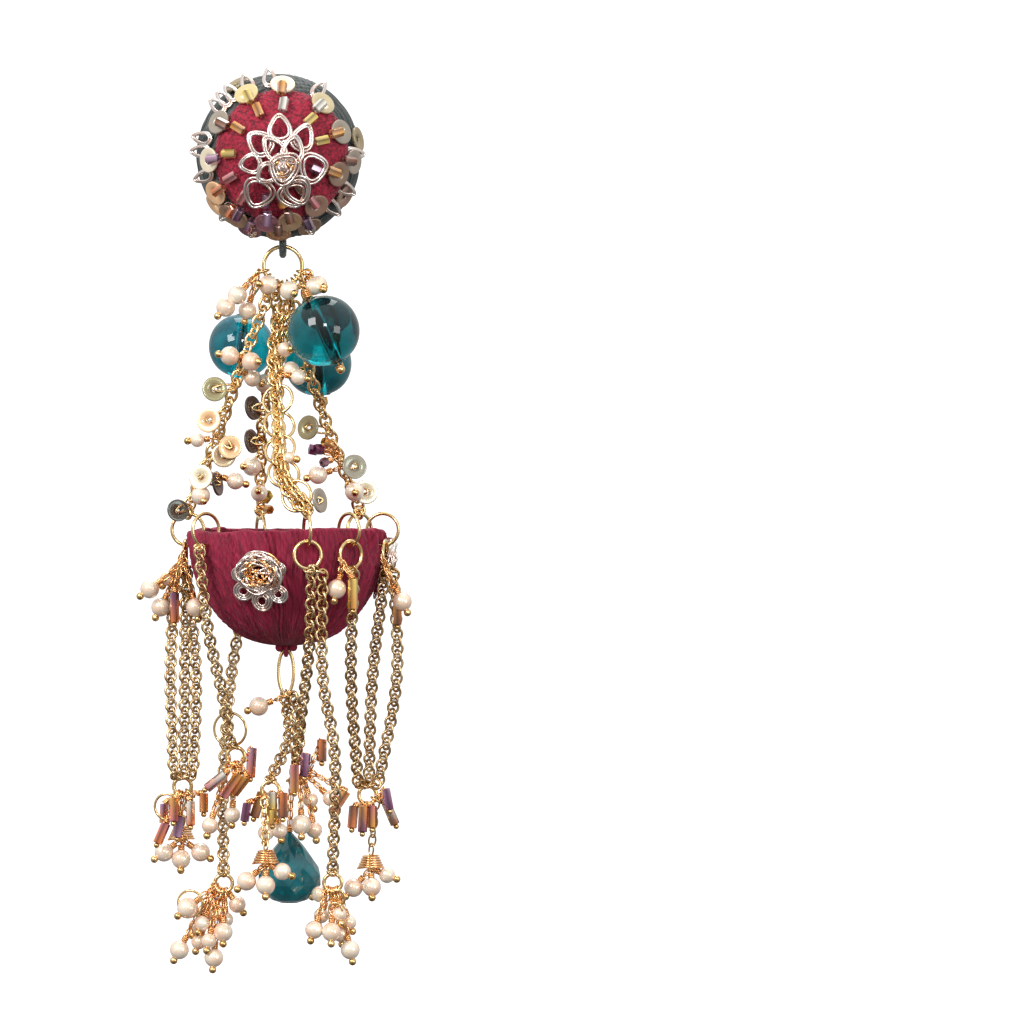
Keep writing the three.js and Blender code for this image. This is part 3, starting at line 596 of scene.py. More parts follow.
def rolled(frames: Array, degrees: float | Array) -> Array:
    """Turns what is placed about its own +Z first.

    Args:
        frames: The placing matrices.
        degrees: The turn, or one for each matrix.

    Returns:
        The new matrices.
    """
    turn = np.broadcast_to(np.radians(degrees), (len(frames),))
    roll = np.tile(np.eye(4), (len(frames), 1, 1))
    roll[:, 0, 0] = roll[:, 1, 1] = np.cos(turn)
    roll[:, 1, 0] = np.sin(turn)
    roll[:, 0, 1] = -np.sin(turn)
    return frames @ roll


class Route:
    """A smooth line through points, the same centripetal spline that the solids' tubes follow.

    Each span is a cubic between two points. Its slopes at both ends come from the points around, weighed by
    the square roots of their distances.
    """

    STEPS: ClassVar[int] = 40

    def __init__(self, points: list[Array]) -> None:
        """Takes the points that the line goes through, and samples it by length.

        Args:
            points: The points, from the start to the end.
        """
        given = np.array(points)
        ends = np.vstack([2 * given[0] - given[1], given, 2 * given[-1] - given[-2]])
        spans = np.sqrt(np.linalg.norm(np.diff(ends, axis=0), axis=1))[:, None]
        before, here, there, after = ends[:-3], ends[1:-2], ends[2:-1], ends[3:]
        a, b, c = spans[:-2], spans[1:-1], spans[2:]
        leave = b * ((here - before) / a - (there - before) / (a + b) + (there - here) / b)
        reach = b * ((there - here) / b - (after - here) / (b + c) + (after - there) / c)
        t = np.linspace(0, 1, self.STEPS)[None, :, None]
        pieces = (
            here[:, None]
            + t * leave[:, None]
            + t**2 * (3 * (there - here) - 2 * leave - reach)[:, None]
            + t**3 * (2 * (here - there) + leave + reach)[:, None]
        )
        self.line = np.vstack([pieces[:, :-1].reshape(-1, 3), given[-1:]])
        steps = np.linalg.norm(np.diff(self.line, axis=0), axis=1)
        self.reach = np.concatenate([[0], np.cumsum(steps)])
        self.length = float(self.reach[-1])

    def at(self, share: float | Array) -> Array:
        """Returns points at shares of the line's length."""
        where = np.atleast_1d(share) * self.length
        return np.stack([np.interp(where, self.reach, self.line[:, k]) for k in range(3)], axis=1)

    def along(self, share: float | Array) -> Array:
        """Returns the line's directions at shares of its length."""
        shares = np.atleast_1d(share)
        return unit(self.at(np.clip(shares + 0.01, 0, 1)) - self.at(np.clip(shares - 0.01, 0, 1)))


def routed(start: Array, end: Array, bends: tuple[tuple[float, float, float], ...]) -> Route:
    """Makes a route between two points.

    Args:
        start: Where it starts.
        end: Where it ends.
        bends: For each bend its share of the way, and how far it is across and in depth, in shares of
            the span.

    Returns:
        The route.
    """
    span = float(np.linalg.norm(end - start))
    points = [start]
    for share, across, depth in bends:
        points.append(start + (end - start) * share + vec(across, depth, 0) * span)
    return Route([*points, end])


# Templates that are copied into place


def ring_of(radius: float, wire: float, look: Look, segments: int = 40, sides: int = 10) -> Shell:
    """Makes a round ring about +Z.

    Args:
        radius: From its middle to the middle of the wire.
        wire: The wire's radius.
        look: The finish.
        segments: Steps round the ring.
        sides: Steps round the wire.

    Returns:
        The shell.
    """
    turn = round_angles(segments)
    path = stacked(radius * cosd(turn), radius * sind(turn), 0)
    return sweep(path, wire, look, vec(0, 0, 1), sides, closed=True)


def link_of(half_length: float, half_width: float, wire: float, look: Look, segments: int = 16) -> Shell:
    """Makes an oval link that is long in +Z and flat across +X.

    Args:
        half_length: Half its length, to the middle of the wire.
        half_width: Half its width, to the middle of the wire.
        wire: The wire's radius.
        look: The finish.
        segments: Steps round the link.

    Returns:
        The shell.
    """
    turn = round_angles(segments)
    path = stacked(half_width * cosd(turn), 0, half_length * sind(turn))
    return sweep(path, wire, look, vec(0, 1, 0), 6, closed=True)


def ball_of(radius: float, look: Look, segments: int = 20, rows: int = 12, hole: float = 0.02) -> Shell:
    """Makes a ball with a small flat at both ends of +Z.

    Args:
        radius: Its radius.
        look: The finish.
        segments: Steps round it.
        rows: Steps from pole to pole.
        hole: The radius of the flats, as a share of the ball's.

    Returns:
        The shell.
    """
    arc = np.linspace(-90, 90, rows)
    profile = np.stack([radius * np.maximum(cosd(arc), hole), radius * sind(arc)], axis=1)
    return lathe(profile, look, segments, closed=False)


def coil_of(radius: float, wire: float, length: float, turns: float, look: Look) -> Shell:
    """Makes a coil of wire from the origin down -Z.

    Args:
        radius: From its axis to the middle of the wire.
        wire: The wire's radius.
        length: Its length.
        turns: How often the wire goes round.
        look: The finish.

    Returns:
        The shell.
    """
    turn = np.linspace(0, FULL_TURN * turns, int(12 * turns))
    out = stacked(cosd(turn), sind(turn), 0)
    path = radius * out - stacked(0, 0, np.linspace(0, length, len(turn)))
    return sweep(path, wire, look, out, 5)


def sequin_of(radius: float = SEQUIN_RADIUS, thickness: float = 0.34) -> Shell:
    """Makes a slightly cupped sequin with a hole, that faces +Z.

    Args:
        radius: Its radius.
        thickness: Its thickness.

    Returns:
        The shell.
    """
    hole, cup = 0.24 * radius, 0.12 * radius
    top = [[hole, 0.0], [0.6 * radius, 0.3 * cup], [0.94 * radius, cup], [radius, cup - 0.1 * thickness]]
    under = [[radius, cup - 0.9 * thickness], [0.6 * radius, 0.3 * cup - thickness], [hole, -thickness]]
    return lathe(np.array(top + under), Look.SEQUIN, 28)


def bugle_of(
    length: float, radius: float = BUGLE_RADIUS, top: Colour = WHITE, tip: Colour = WHITE
) -> Shell:
    """Makes a six-sided bugle bead along +Z from the origin.

    Its tint goes from one colour to the other along it, and painted highlights and shade lie in streaks
    along it: every second edge is lighter, as the tint is multiplied by one plus a share of the cosine of
    three times the turn.

    Args:
        length: Its length.
        radius: Its radius.
        top: The tint at the origin.
        tip: The tint at the other end.

    Returns:
        The shell.
    """
    hole, bevel = 0.42 * radius, 0.12 * radius
    start = [[hole, 0], [radius - bevel, 0], [radius, bevel], [radius, 0.5 * length]]
    end = [[radius, length - bevel], [radius - bevel, length], [hole, length]]
    shell = lathe(np.array(start + end), Look.BUGLE, 6, smooth=False)
    share = np.clip(shell.points[:, 2:] / length * 1.6 - 0.3, 0, 1)
    turn = np.arctan2(shell.points[:, 1:2], shell.points[:, :1])
    # Painted highlight and shade: lighter and darker streaks round the bead, in place of glints on the
    # glass.
    painted_streaks = 1.0 + 0.6 * np.cos(3 * turn)
    return shell.tinted(painted_streaks * ((1 - share) * np.array(top) + share * np.array(tip)))


FINE_WIRE = 0.11
WRAP_LENGTH = 0.75
SMALL_PITCH = 0.95
PEARL = ball_of(1, Look.PEARL, 24, 16, hole=0.1)
BALL = ball_of(1, Look.GOLD, 14, 9).tinted((1.0, 0.92, 0.8))
EYE = ring_of(LOOP_RADIUS, LOOP_WIRE, Look.GOLD, 28, 8)
PIN_LOOP = ring_of(0.52, 0.12, Look.COPPER, 20, 6)
WRAP = coil_of(0.34, FINE_WIRE, WRAP_LENGTH, 3.5, Look.COPPER)
SMALL_LINK = link_of(0.62, 0.4, FINE_WIRE, Look.COPPER, 14)
SEQUIN = sequin_of()


def scaled(shell: Shell, size: float) -> Shell:
    """Returns a shell at another size."""
    return Shell(shell.points * size, shell.blocks, shell.tints, shell.weave * size)


def wire_between(start: Array, end: Array, wire: float = LOOP_WIRE, look: Look = Look.COPPER) -> Shell:
    """Makes a straight wire.

    Args:
        start: One end.
        end: The other end.
        wire: The wire's radius.
        look: The finish.

    Returns:
        The shell.
    """
    side = vec(0, 1, 0) if abs(unit(end - start)[1]) < 0.9 else vec(1, 0, 0)
    return sweep(np.array([start, (start + end) / 2, end]), wire, look, side, 6)


def pinned(start: Array, end: Array) -> list[Shell]:
    """Makes what joins a bead to its ring: a loop, copper links, then a wrap of wire that ends at the bead.

    Args:
        start: Where it hangs.
        end: Where the bead starts.

    Returns:
        The shells.
    """
    span = float(np.linalg.norm(end - start))
    down = unit(end - start)
    wrap_top = end - down * min(WRAP_LENGTH, 0.8 * span)
    across = np.cross(down, vec(0.3, 1, 0.2))
    parts = [WRAP.at(aim(wrap_top, -down)), wire_between(wrap_top, end), PIN_LOOP.at(aim(start, across))]
    count = int(np.linalg.norm(wrap_top - start) // SMALL_PITCH)
    if count:
        shares = (np.arange(count) + 0.5)[:, None] / count
        places = aim(start + (wrap_top - start) * shares, down)
        parts.append(SMALL_LINK.at(rolled(places, 40 + 90 * (np.arange(count) % 2))))
    parts.append(wire_between(start, wrap_top, 0.6 * LOOP_WIRE))
    return parts


def pearl_on_pin(start: Array, centre: Array, size: float = 1.0) -> list[Shell]:
    """Makes a pearl on its head pin.

    Args:
        start: Where the pin hangs.
        centre: The pearl's middle.
        size: The pearl's size, in pearl radii.

    Returns:
        The shells of pin, pearl and ball.
    """
    down = unit(centre - start)
    radius = size * PEARL_RADIUS
    pearl = scaled(PEARL, radius).at(aim(centre, down))
    ball = scaled(BALL, 0.85 * BALL_RADIUS).at(aim(centre + down * (radius + 0.3), down))
    return [pearl, *pinned(start, centre - down * radius * 0.95), ball]


AMBER: Colour = (0.78, 0.34, 0.06)
ORANGE: Colour = (0.8, 0.22, 0.05)
PINK: Colour = (0.66, 0.2, 0.2)
PURPLE: Colour = (0.24, 0.06, 0.15)
LILAC: Colour = (0.5, 0.26, 0.42)
YELLOW: Colour = (0.85, 0.6, 0.14)
SILVERY: Colour = (0.85, 0.8, 0.7)
BROWN: Colour = (0.3, 0.1, 0.04)


def bugle_on_pin(start: Array, top: Array, tip: Array, colours: tuple[Colour, Colour]) -> list[Shell]:
    """Makes a bugle bead on its head pin. Its place gives it a roll of its own.

    Args:
        start: Where the pin hangs.
        top: The bead's upper end.
        tip: Its lower end.
        colours: The colour at each end.

    Returns:
        The shells of pin, bead and ball.
    """
    down = unit(tip - top)
    length = float(np.linalg.norm(tip - top))
    spin = float(np.sum(np.abs(top)) * 137 % 60)
    bead = bugle_of(length, top=colours[0], tip=colours[1]).at(rolled(aim(top, down), spin))
    ball = scaled(BALL, 0.62 * BALL_RADIUS).at(aim(tip + down * 0.25, down))
    return [bead, ball, *pinned(start, top), wire_between(top, tip, 0.5 * LOOP_WIRE, Look.GOLD)]


class Workshop:
    """Turns shells into mesh objects that ride on their bodies."""

    def __init__(self) -> None:
        """Starts with an empty palette."""
        self.palette = Palette()

    def piece(self, name: str, shells: list[Shell], slot: str, body: str, nodes: tuple[str, ...]) -> None:
        """Makes one object from shells.

        Args:
            name: The object's name.
            shells: The shells, in the row frame.
            slot: The record's material slot; not used.
            body: The body that it rides on.
            nodes: The solids that it stands for.
        """
        shell = Shell.joined(shells)
        mesh = bpy.data.meshes.new(name)
        looks = list(dict.fromkeys(block.look for block in shell.blocks))
        sizes = np.concatenate([np.full(len(b.corners), b.corners.shape[1]) for b in shell.blocks])
        loops = np.concatenate([b.corners.ravel() for b in shell.blocks])
        mesh.vertices.add(len(shell.points))
        mesh.vertices.foreach_set("co", (shell.points * MM).ravel())
        mesh.loops.add(len(loops))
        mesh.loops.foreach_set("vertex_index", loops)
        mesh.polygons.add(len(sizes))
        mesh.polygons.foreach_set("loop_start", np.concatenate([[0], np.cumsum(sizes)[:-1]]))
        marks = np.concatenate([np.full(len(b.corners), looks.index(b.look)) for b in shell.blocks])
        smooth = np.concatenate([np.full(len(b.corners), b.smooth) for b in shell.blocks])
        for look in looks:
            mesh.materials.append(self.palette.material(look))
        mesh.update(calc_edges=True)
        mesh.polygons.foreach_set("material_index", marks)
        mesh.polygons.foreach_set("use_smooth", smooth)
        tint = mesh.attributes.new("tint", "FLOAT_COLOR", "POINT")
        tint.data.foreach_set("color", np.hstack([shell.tints, np.ones((len(shell.points), 1))]).ravel())
        weave = mesh.attributes.new("weave", "FLOAT_VECTOR", "POINT")
        weave.data.foreach_set("vector", shell.weave.ravel())
        made = bpy.data.objects.new(name, mesh)
        bpy.context.scene.collection.objects.link(made)
        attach(made, body)
        if nodes:
            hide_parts(*nodes)
        log.info("%s: %d triangles on %s", name, int(np.sum(sizes - 2)), body)


def tangle(radius: float, phase: float, flat: float = 1.0) -> Array:
    """Makes a ring of bent wire, whose height is the sine of three times the turn.

    Args:
        radius: The ring's radius.
        phase: Where the wave starts, in radians.
        flat: Its width the other way, as a share of the radius.

    Returns:
        The points along the wire.
    """
    turn = round_angles(40)
    wave = 0.3 * np.sin(3 * np.radians(turn) + phase)
    return stacked(radius * cosd(turn), flat * radius * sind(turn), wave)


@dataclass(frozen=True)
class Spot:
    """A place on the stud, by the angle round its middle and the share of its radius away from it."""

    angle: float
    share: float
    tint: Colour = WHITE
    beads: tuple[Colour, ...] = ()


CREAM: Colour = (0.83, 0.72, 0.52)
KHAKI: Colour = (0.33, 0.26, 0.13)
PEACH: Colour = (0.85, 0.52, 0.28)
GREY: Colour = (0.36, 0.31, 0.23)
DARK: Colour = (0.1, 0.065, 0.045)
PLUM: Colour = (0.3, 0.13, 0.16)

STUD_SPOTS = (
    Spot(85, 0.83, CREAM, (AMBER, SILVERY)),
    Spot(117, 0.8, (0.7, 0.55, 0.26), (YELLOW, AMBER)),
    Spot(152, 0.79, GREY, (BROWN, AMBER)),
    Spot(186, 0.82, CREAM, (LILAC, YELLOW)),
    Spot(213, 0.88, PEACH, (ORANGE, PINK)),
    Spot(238, 0.92, (0.4, 0.24, 0.14), (PURPLE, PINK)),
    Spot(262, 0.85, PLUM, (LILAC, PURPLE)),
    Spot(281, 0.84, (0.45, 0.28, 0.16), (BROWN, AMBER)),
    Spot(307, 0.8, (0.4, 0.24, 0.16), (PINK, BROWN)),
    Spot(341, 0.79, (0.3, 0.19, 0.12), (AMBER, PURPLE)),
    Spot(18, 0.82, GREY, (AMBER, YELLOW)),
    Spot(47, 0.82, (0.6, 0.5, 0.28), (SILVERY, YELLOW)),
)
STUD_EDGE = (
    Spot(121, 0.99, KHAKI),
    Spot(11, 0.99, KHAKI),
    Spot(219, 0.97, PEACH),
    Spot(328, 0.96, (0.35, 0.22, 0.15)),
    Spot(250, 0.97, PLUM, (PURPLE,)),
    Spot(271, 0.96, (0.4, 0.24, 0.14), (BROWN,)),
    Spot(294, 0.96, (0.3, 0.19, 0.12), (PURPLE,)),
    Spot(232, 0.93, (0.4, 0.24, 0.14), (ORANGE,)),
    Spot(354, 0.93, GREY, (BROWN,)),
)
SILVER_LOOPS = (96, 113, 127, 134, 141, 168, 178, 197, 229, 252, 294, 316, 333, 0, 57)


@dataclass(frozen=True)
class Petal:
    """A wire petal: its middle, half sizes and turn, in shares of the stud radius and degrees."""

    across: float
    up: float
    half_width: float
    half_length: float
    turn: float
    lift: float = 0.0


STUD_PETALS = (
    Petal(0.05, 0.28, 0.115, 0.15, 4),
    Petal(0.33, 0.17, 0.11, 0.15, -25),
    Petal(0.46, -0.19, 0.155, 0.15, -80),
    Petal(0.21, -0.52, 0.15, 0.14, 200),
    Petal(0.27, -0.47, 0.13, 0.16, 205, 0.03),
    Petal(-0.21, -0.5, 0.155, 0.17, 155),
    Petal(-0.3, -0.15, 0.1, 0.12, 100),
    Petal(-0.19, 0.1, 0.12, 0.15, 50),
    Petal(-0.02, 0.03, 0.1, 0.15, 40, 0.06),
    Petal(0.21, 0.02, 0.11, 0.15, -10, 0.06),
    Petal(-0.1, -0.27, 0.1, 0.12, 130, 0.05),
    Petal(0.1, -0.2, 0.17, 0.15, 60, 0.09),
)


@dataclass
class Stud:
    """The stud: half ball, velvet, sequins, bugles, flower, thread loop and post."""

    shop: Workshop
    radius: float = 10.3
    band: float = 1.2
    pad: float = 0.6
    pad_radius: float = 4.0
    post_radius: float = 0.45
    post_length: float = 11.0
    velvet: float = 1.08
    velvet_angle: float = 52.0
    velvet_middle: tuple[float, float] = (5.0, 3.4)
    petal_wire: float = 0.17
    petal_size: float = 1.15
    bugle_length: float = 1.75
    bugle_pitch: float = 1.12
    threads: float = 24.0
    thread_height: float = 0.24
    crossings: float = 15.0
    crossing_height: float = 0.16
    spoke_height: float = 0.3
    edge_drop: float = 0.9
    nap: float = 0.06
    heart_wires: int = 7
    strand_radius: float = 0.2
    strand_wire: float = 0.27

    def __post_init__(self) -> None:
        """Works out where the half ball's middle is."""
        self.middle = vec(0, -(self.pad + GAP + self.band), 0)

    def over(self, angle: float | Array, share: float | Array, lift: float | Array) -> Array:
        """Finds points over the half ball. By Pythagoras the share leaves the height over its plane.

        Args:
            angle: Degrees round the middle, from the right.
            share: The share of the radius away from the middle, as seen from the front.
            lift: How far they are over the ball.

        Returns:
            The points.
        """
        reach = self.radius + np.asarray(lift, dtype=float)
        away = np.clip(share * self.radius / reach, 0, 0.999)
        point = stacked(away * cosd(angle), -np.sqrt(1 - away**2), away * sind(angle))
        return self.middle + point * reach[..., None]

    @staticmethod
    def _turned(reach: Array, away: Array, spin: Array) -> Array:
        """Returns points by their reach, the angle away from the front and the angle round it."""
        radius = reach * sind(away)
        return stacked(radius * cosd(spin), -reach * cosd(away), radius * sind(spin))

    def build(self) -> None:
        """Makes all the stud's pieces."""
        self._post()
        self._dome()
        self._face()
        self._flower()
        self._loop()

    def _post(self) -> None:
        """The post on its pad."""
        post, tip, pad = self.post_radius, 0.5 * self.post_radius, self.pad_radius
        bevel, middle = 0.1, 0.02
        profile = [[middle, -self.pad], [pad - bevel, -self.pad], [pad, -self.pad + bevel]]
        profile += [[pad, -bevel], [pad - bevel, 0], [post, 0], [post, self.post_length - tip]]
        profile += [[tip, self.post_length], [middle, self.post_length]]
        shell = lathe(np.array(profile), Look.GOLD, 40, closed=False, smooth=False)
        placed = shell.at(aim(vec(0, 0, 0), vec(0, 1, 0)))
        self.shop.piece("post", [placed], "gold_wire", "stud", ("ear_post",))

    def _dome(self) -> None:
        """The half ball, wound with thread that runs round it in ridges.

        A ridge is the sine's size along the thread number, and a lower one along the crossing number. Both
        grow with the angle away from the front and sway as the spin goes round.
        """
        rows, columns = 150, 260
        away = np.linspace(2, 90, rows)[:, None]
        spin = round_angles(columns)[None, :]
        thread = away / 90 * self.threads + 1.6 * sind(spin * 3) + 0.8 * sind(spin * 7 + 40)
        crossing = away / 90 * self.crossings + spin / 30 + 0.7 * sind(spin * 5)
        ridge = self.thread_height * np.abs(np.sin(np.pi * thread))
        ridge = ridge + self.crossing_height * np.abs(np.sin(np.pi * crossing))
        reach = self.radius + ridge - 1.5 * self.thread_height
        front = self._turned(reach, away, spin)
        weave = stacked(thread * 2.4, 1.6 * cosd(spin), 1.6 * sind(spin))
        back = front[-1:].copy()
        back[..., 1] = self.band
        flat = back * vec(0.05, 1, 0.05)
        points = np.concatenate([front, back, back * vec(0.97, 1.02, 0.97), flat]) + self.middle
        points[-2:, :, 1] = self.middle[1] + self.band
        weave = np.concatenate([weave, *[weave[-1:]] * 3])
        shell = grid(points, Look.THREAD, False, weave=weave)
        self.shop.piece("thread_dome", [shell], "green_thread", "stud", ("stud_dome",))

    def _face(self) -> None:
        """The velvet with its sequins, bugle beads and silver loops."""
        parts = [self._velvet()]
        for spot in STUD_SPOTS:
            parts += self._spoke(spot)
        for spot in STUD_EDGE:
            if spot.beads:
                parts += self._spoke(spot, -0.35)
            else:
                centre = self.over(spot.angle, spot.share, 0.6)
                parts.append(SEQUIN.tinted(spot.tint).at(aim(centre, centre - self.middle)))
        parts += [self._silver_loop(angle) for angle in SILVER_LOOPS]
        self.shop.piece("velvet_face", parts, "crimson_velvet", "stud", ("stud_face",))

    def _velvet(self) -> Shell:
        """Makes the velvet cap.

        Its height is flat, drops at its edge by a high power of the angle, rises between the spokes, and
        has nap by chance. It is then turned to the place that the photograph shows.

        Returns:
            The shell.
        """
        rng = np.random.default_rng(7)
        rows, columns = 110, 300
        across, nod = self.velvet_middle
        away = np.linspace(0.4, self.velvet_angle, rows)[:, None]
        spin = round_angles(columns)[None, :]
        height = self.velvet - self.edge_drop * (away / self.velvet_angle) ** 12
        spokes = self.spoke_height * np.abs(cosd(6 * (spin - 70))) * np.clip((away - 18) / 20, 0, 1)
        height = height + (spokes - 0.2) * (away < self.velvet_angle - 2)
        rough = rng.normal(0, self.nap, (rows, columns)) * (away > 3)
        reach = self.radius + height + rough
        cap = self._turned(reach, away, spin)
        under = unit(cap[::-1][::10]) * (self.radius + 0.14)
        points = np.concatenate([cap, under])
        turn = np.array([[cosd(across), -sind(across), 0], [sind(across), cosd(across), 0], [0, 0, 1]])
        tilt = np.array([[1, 0, 0], [0, cosd(nod), -sind(nod)], [0, sind(nod), cosd(nod)]])
        return grid(points @ (tilt @ turn).T + self.middle, Look.VELVET, False)

    def _spoke(self, spot: Spot, rise: float = 0.0) -> list[Shell]:
        """Makes a sequin with a bugle bead on it and one more towards the middle.

        Args:
            spot: Where the sequin is, and its colours.
            rise: How far it is over the velvet's own height.

        Returns:
            The shells.
        """
        velvet = self.velvet + rise
        centre = self.over(spot.angle, spot.share, velvet + 0.35)
        out = unit(centre - self.middle)
        parts = [SEQUIN.tinted(spot.tint).at(aim(centre, out))]
        length = self.bugle_length
        for number, colour in enumerate(spot.beads):
            share = spot.share - number * self.bugle_pitch * length / self.radius
            lift = velvet + 1.05 - 0.4 * number
            start = self.over(spot.angle - 4 * number, share + 0.02, lift)
            end = self.over(spot.angle - 4 * number, share - length / self.radius, lift - 0.3)
            bright = tuple(0.8 * c + 0.15 for c in colour)
            roll = spot.angle * 7 % 60
            parts.append(bugle_of(length, top=colour, tip=bright).at(rolled(aim(start, end - start), roll)))
        return parts

    def _silver_loop(self, angle: float) -> Shell:
        """Makes a loop of doubled silver wire at the edge of the velvet.

        Args:
            angle: Degrees round the middle, from the right.

        Returns:
            The shell.
        """
        centre = self.over(angle, 0.93, 0.75)
        out = unit(unit(centre - self.middle) + vec(0, -0.8, 0))
        away = self.over(angle, 1.0, 0.5) - self.over(angle, 0.85, 0.9)
        return self._doubled(centre, out, away, 0.72, 1.5)

    def _doubled(
        self, centre: Array, out: Array, along: Array, half_width: float, half_length: float
    ) -> Shell:
        """A pointed loop of two wires side by side.

        Args:
            centre: The loop's middle.
            out: The direction that it faces.
            along: The direction of its pointed end.
            half_width: Half its width.
            half_length: Half its length.

        Returns:
            The shell.
        """
        turn = round_angles(36)
        narrow = 1 - 0.35 * sind(turn)
        strands = []
        for shrink, rise in ((1.0, 0.0), (0.78, 0.09)):
            across = half_width * shrink * narrow * cosd(turn)
            path = stacked(across, shrink * half_length * sind(turn), rise)
            strands.append(sweep(path, self.petal_wire, Look.SILVER, vec(0, 0, 1), 7, closed=True))
        flat = unit(along - np.dot(along, out) * out)
        return Shell.joined(strands).at(aim(centre, out, np.cross(flat, out)))

    def _flower(self) -> None:
        """The wire flower, with a tangle of copper wire in its middle."""
        parts = []
        for petal in STUD_PETALS:
            share = float(np.hypot(petal.across, petal.up))
            angle = float(np.degrees(np.arctan2(petal.up, petal.across)))
            centre = self.over(angle, share, self.velvet + 1.15 + petal.lift * self.radius)
            out = unit(centre - self.middle)
            along = vec(-sind(petal.turn), 0, cosd(petal.turn))
            half_width = petal.half_width * self.petal_size * self.radius
            half_length = petal.half_length * self.petal_size * self.radius
            parts.append(self._doubled(centre, out, along, half_width, half_length))
        heart = self.over(-67, 0.2, self.velvet + 0.9)
        out = unit(heart - self.middle)
        rng = np.random.default_rng(3)
        for number in range(self.heart_wires):
            radius = 0.7 + 0.16 * number
            path = tangle(radius, rng.uniform(0, 6)) + vec(0, 0, 1.1 - 0.16 * number)
            tipped = out + rng.normal(0, 0.16, 3)
            look = Look.COPPER if number % 3 == 1 else Look.SILVER
            wire = sweep(path, FLOWER_WIRE, look, vec(0, 0, 1), 6, closed=True)
            parts.append(wire.at(aim(heart, tipped)))
        stalk_line = np.array([[0.02, 0], [1.3, 0], [1.0, 1.2], [0.02, 1.2]])
        stalk = lathe(stalk_line, Look.SILVER, 20, closed=False)
        parts.append(stalk.at(aim(heart - out * 0.1, out)))
        self.shop.piece("wire_flower", parts, "silver_wire", "stud", ("stud_flower",))

    def _loop(self) -> None:
        """The twisted thread loop that the top ring hangs in."""
        low, high = (corner / MM for corner in map(np.array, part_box("thread_loop")))
        centre, half = (low + high) / 2, (high - low) / 2
        inset = self.strand_radius + self.strand_wire - 0.03
        turn = round_angles(48)
        parts = []
        for phase in (0, 120, 240):
            twist = turn * 7 + phase
            out = self.strand_radius * cosd(twist) - inset
            aside = self.strand_radius * sind(twist)
            path = stacked(aside, (half[1] + out) * cosd(turn), (half[2] + out) * sind(turn)) + centre
            parts.append(sweep(path, self.strand_wire, Look.THREAD, vec(1, 0, 0), 8, closed=True))
        self.shop.piece("twisted_loop", parts, "green_thread", "stud", ("thread_loop",))


def box_middle(node: str) -> Array:
    """Returns the middle of a solid's box, in millimetres."""
    low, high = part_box(node)
    return (np.array(low) + np.array(high)) / 2 / MM


# Where things hang, worked out as in the solids
TOP = box_middle("top_ring")
BOWL = TOP + vec(0.4, 0, -33.3)
RIM_PLACES = {
    "left": -92.0,
    "front_left": -52.0,
    "front": 14.0,
    "front_right": 41.0,
    "right": 80.0,
    "rear_right": 133.0,
    "rear": 197.0,
}
RIM_RING_AT = BOWL_RADIUS + 0.1
RIM_RING_UP = np.sqrt(RIM_RING_RADIUS**2 - (RIM_RING_AT - BOWL_RADIUS + BOWL_WALL / 2) ** 2) - 1.55
HANGER_AT = BOWL_RADIUS + RING_WIRE + 1.5 * GAP
HANGER_TOP = (
    RIM_RING_UP
    - np.sqrt(RIM_RING_RADIUS**2 - (HANGER_AT - RIM_RING_AT) ** 2)
    + RIM_RING_WIRE
    + GAP
    + RING_WIRE
)
TASSEL_DROP = 29.0
HUBS = {
    "left": vec(-0.445, -0.02, -1.095),
    "inner": vec(-0.212, -0.12, -0.962),
    "low_left": vec(-0.27, 0.02, -1.515),
    "centre": vec(-0.06, -0.2, -1.105),
    "mid": vec(0.062, -0.1, -1.03),
    "right": vec(0.35, 0.06, -1.135),
    "low_right": vec(0.207, -0.22, -1.5),
}


def outward(place: float) -> Array:
    """Returns the level direction at a place round the bowl, from the front towards the right."""
    return vec(sind(place), -cosd(place), 0)


def beside_bowl(place: float, radius: float, up: float) -> Array:
    """Returns a point round the bowl, at a radius and a height over its rim."""
    return BOWL + outward(place) * radius + vec(0, 0, up)


def hanger_centre(place: float) -> Array:
    """Returns the middle of the hanger at a place round the bowl."""
    return beside_bowl(place, HANGER_AT, HANGER_TOP - HANGER_RADIUS)


def hub_at(name: str) -> Array:
    """Returns the middle of a hub's ring."""
    return BOWL + HUBS[name] * TASSEL_DROP


def on_ring(centre: Array, aside: Array, radius: float, lean: float) -> Array:
    """Returns a point on an upright ring, some degrees from its foot towards a direction."""
    return centre + aside * radius * sind(lean) - vec(0, 0, radius * cosd(lean))


def beside(point: Array, across: float, depth: float, down: float) -> Array:
    """Returns a point beside another one, in pearl radii."""
    return point + vec(across, depth, -down) * PEARL_RADIUS


def top_eye(angle: float, towards: int) -> tuple[Shell, Array]:
    """Makes an eye on the top ring.

    Args:
        angle: Degrees round the ring from the right.
        towards: -1 if its tail leaves to the front, 1 to the rear, 0 outwards.

    Returns:
        The eye, and the point where its tail leaves.
    """
    out = vec(cosd(angle), 0, sind(angle))
    centre = TOP + out * (TOP_RING_RADIUS + EYE_SHIFT)
    leave = out if towards == 0 else vec(0, towards, 0)
    return EYE.at(aim(centre, vec(-sind(angle), 0, cosd(angle)))), centre + leave * LOOP_RADIUS


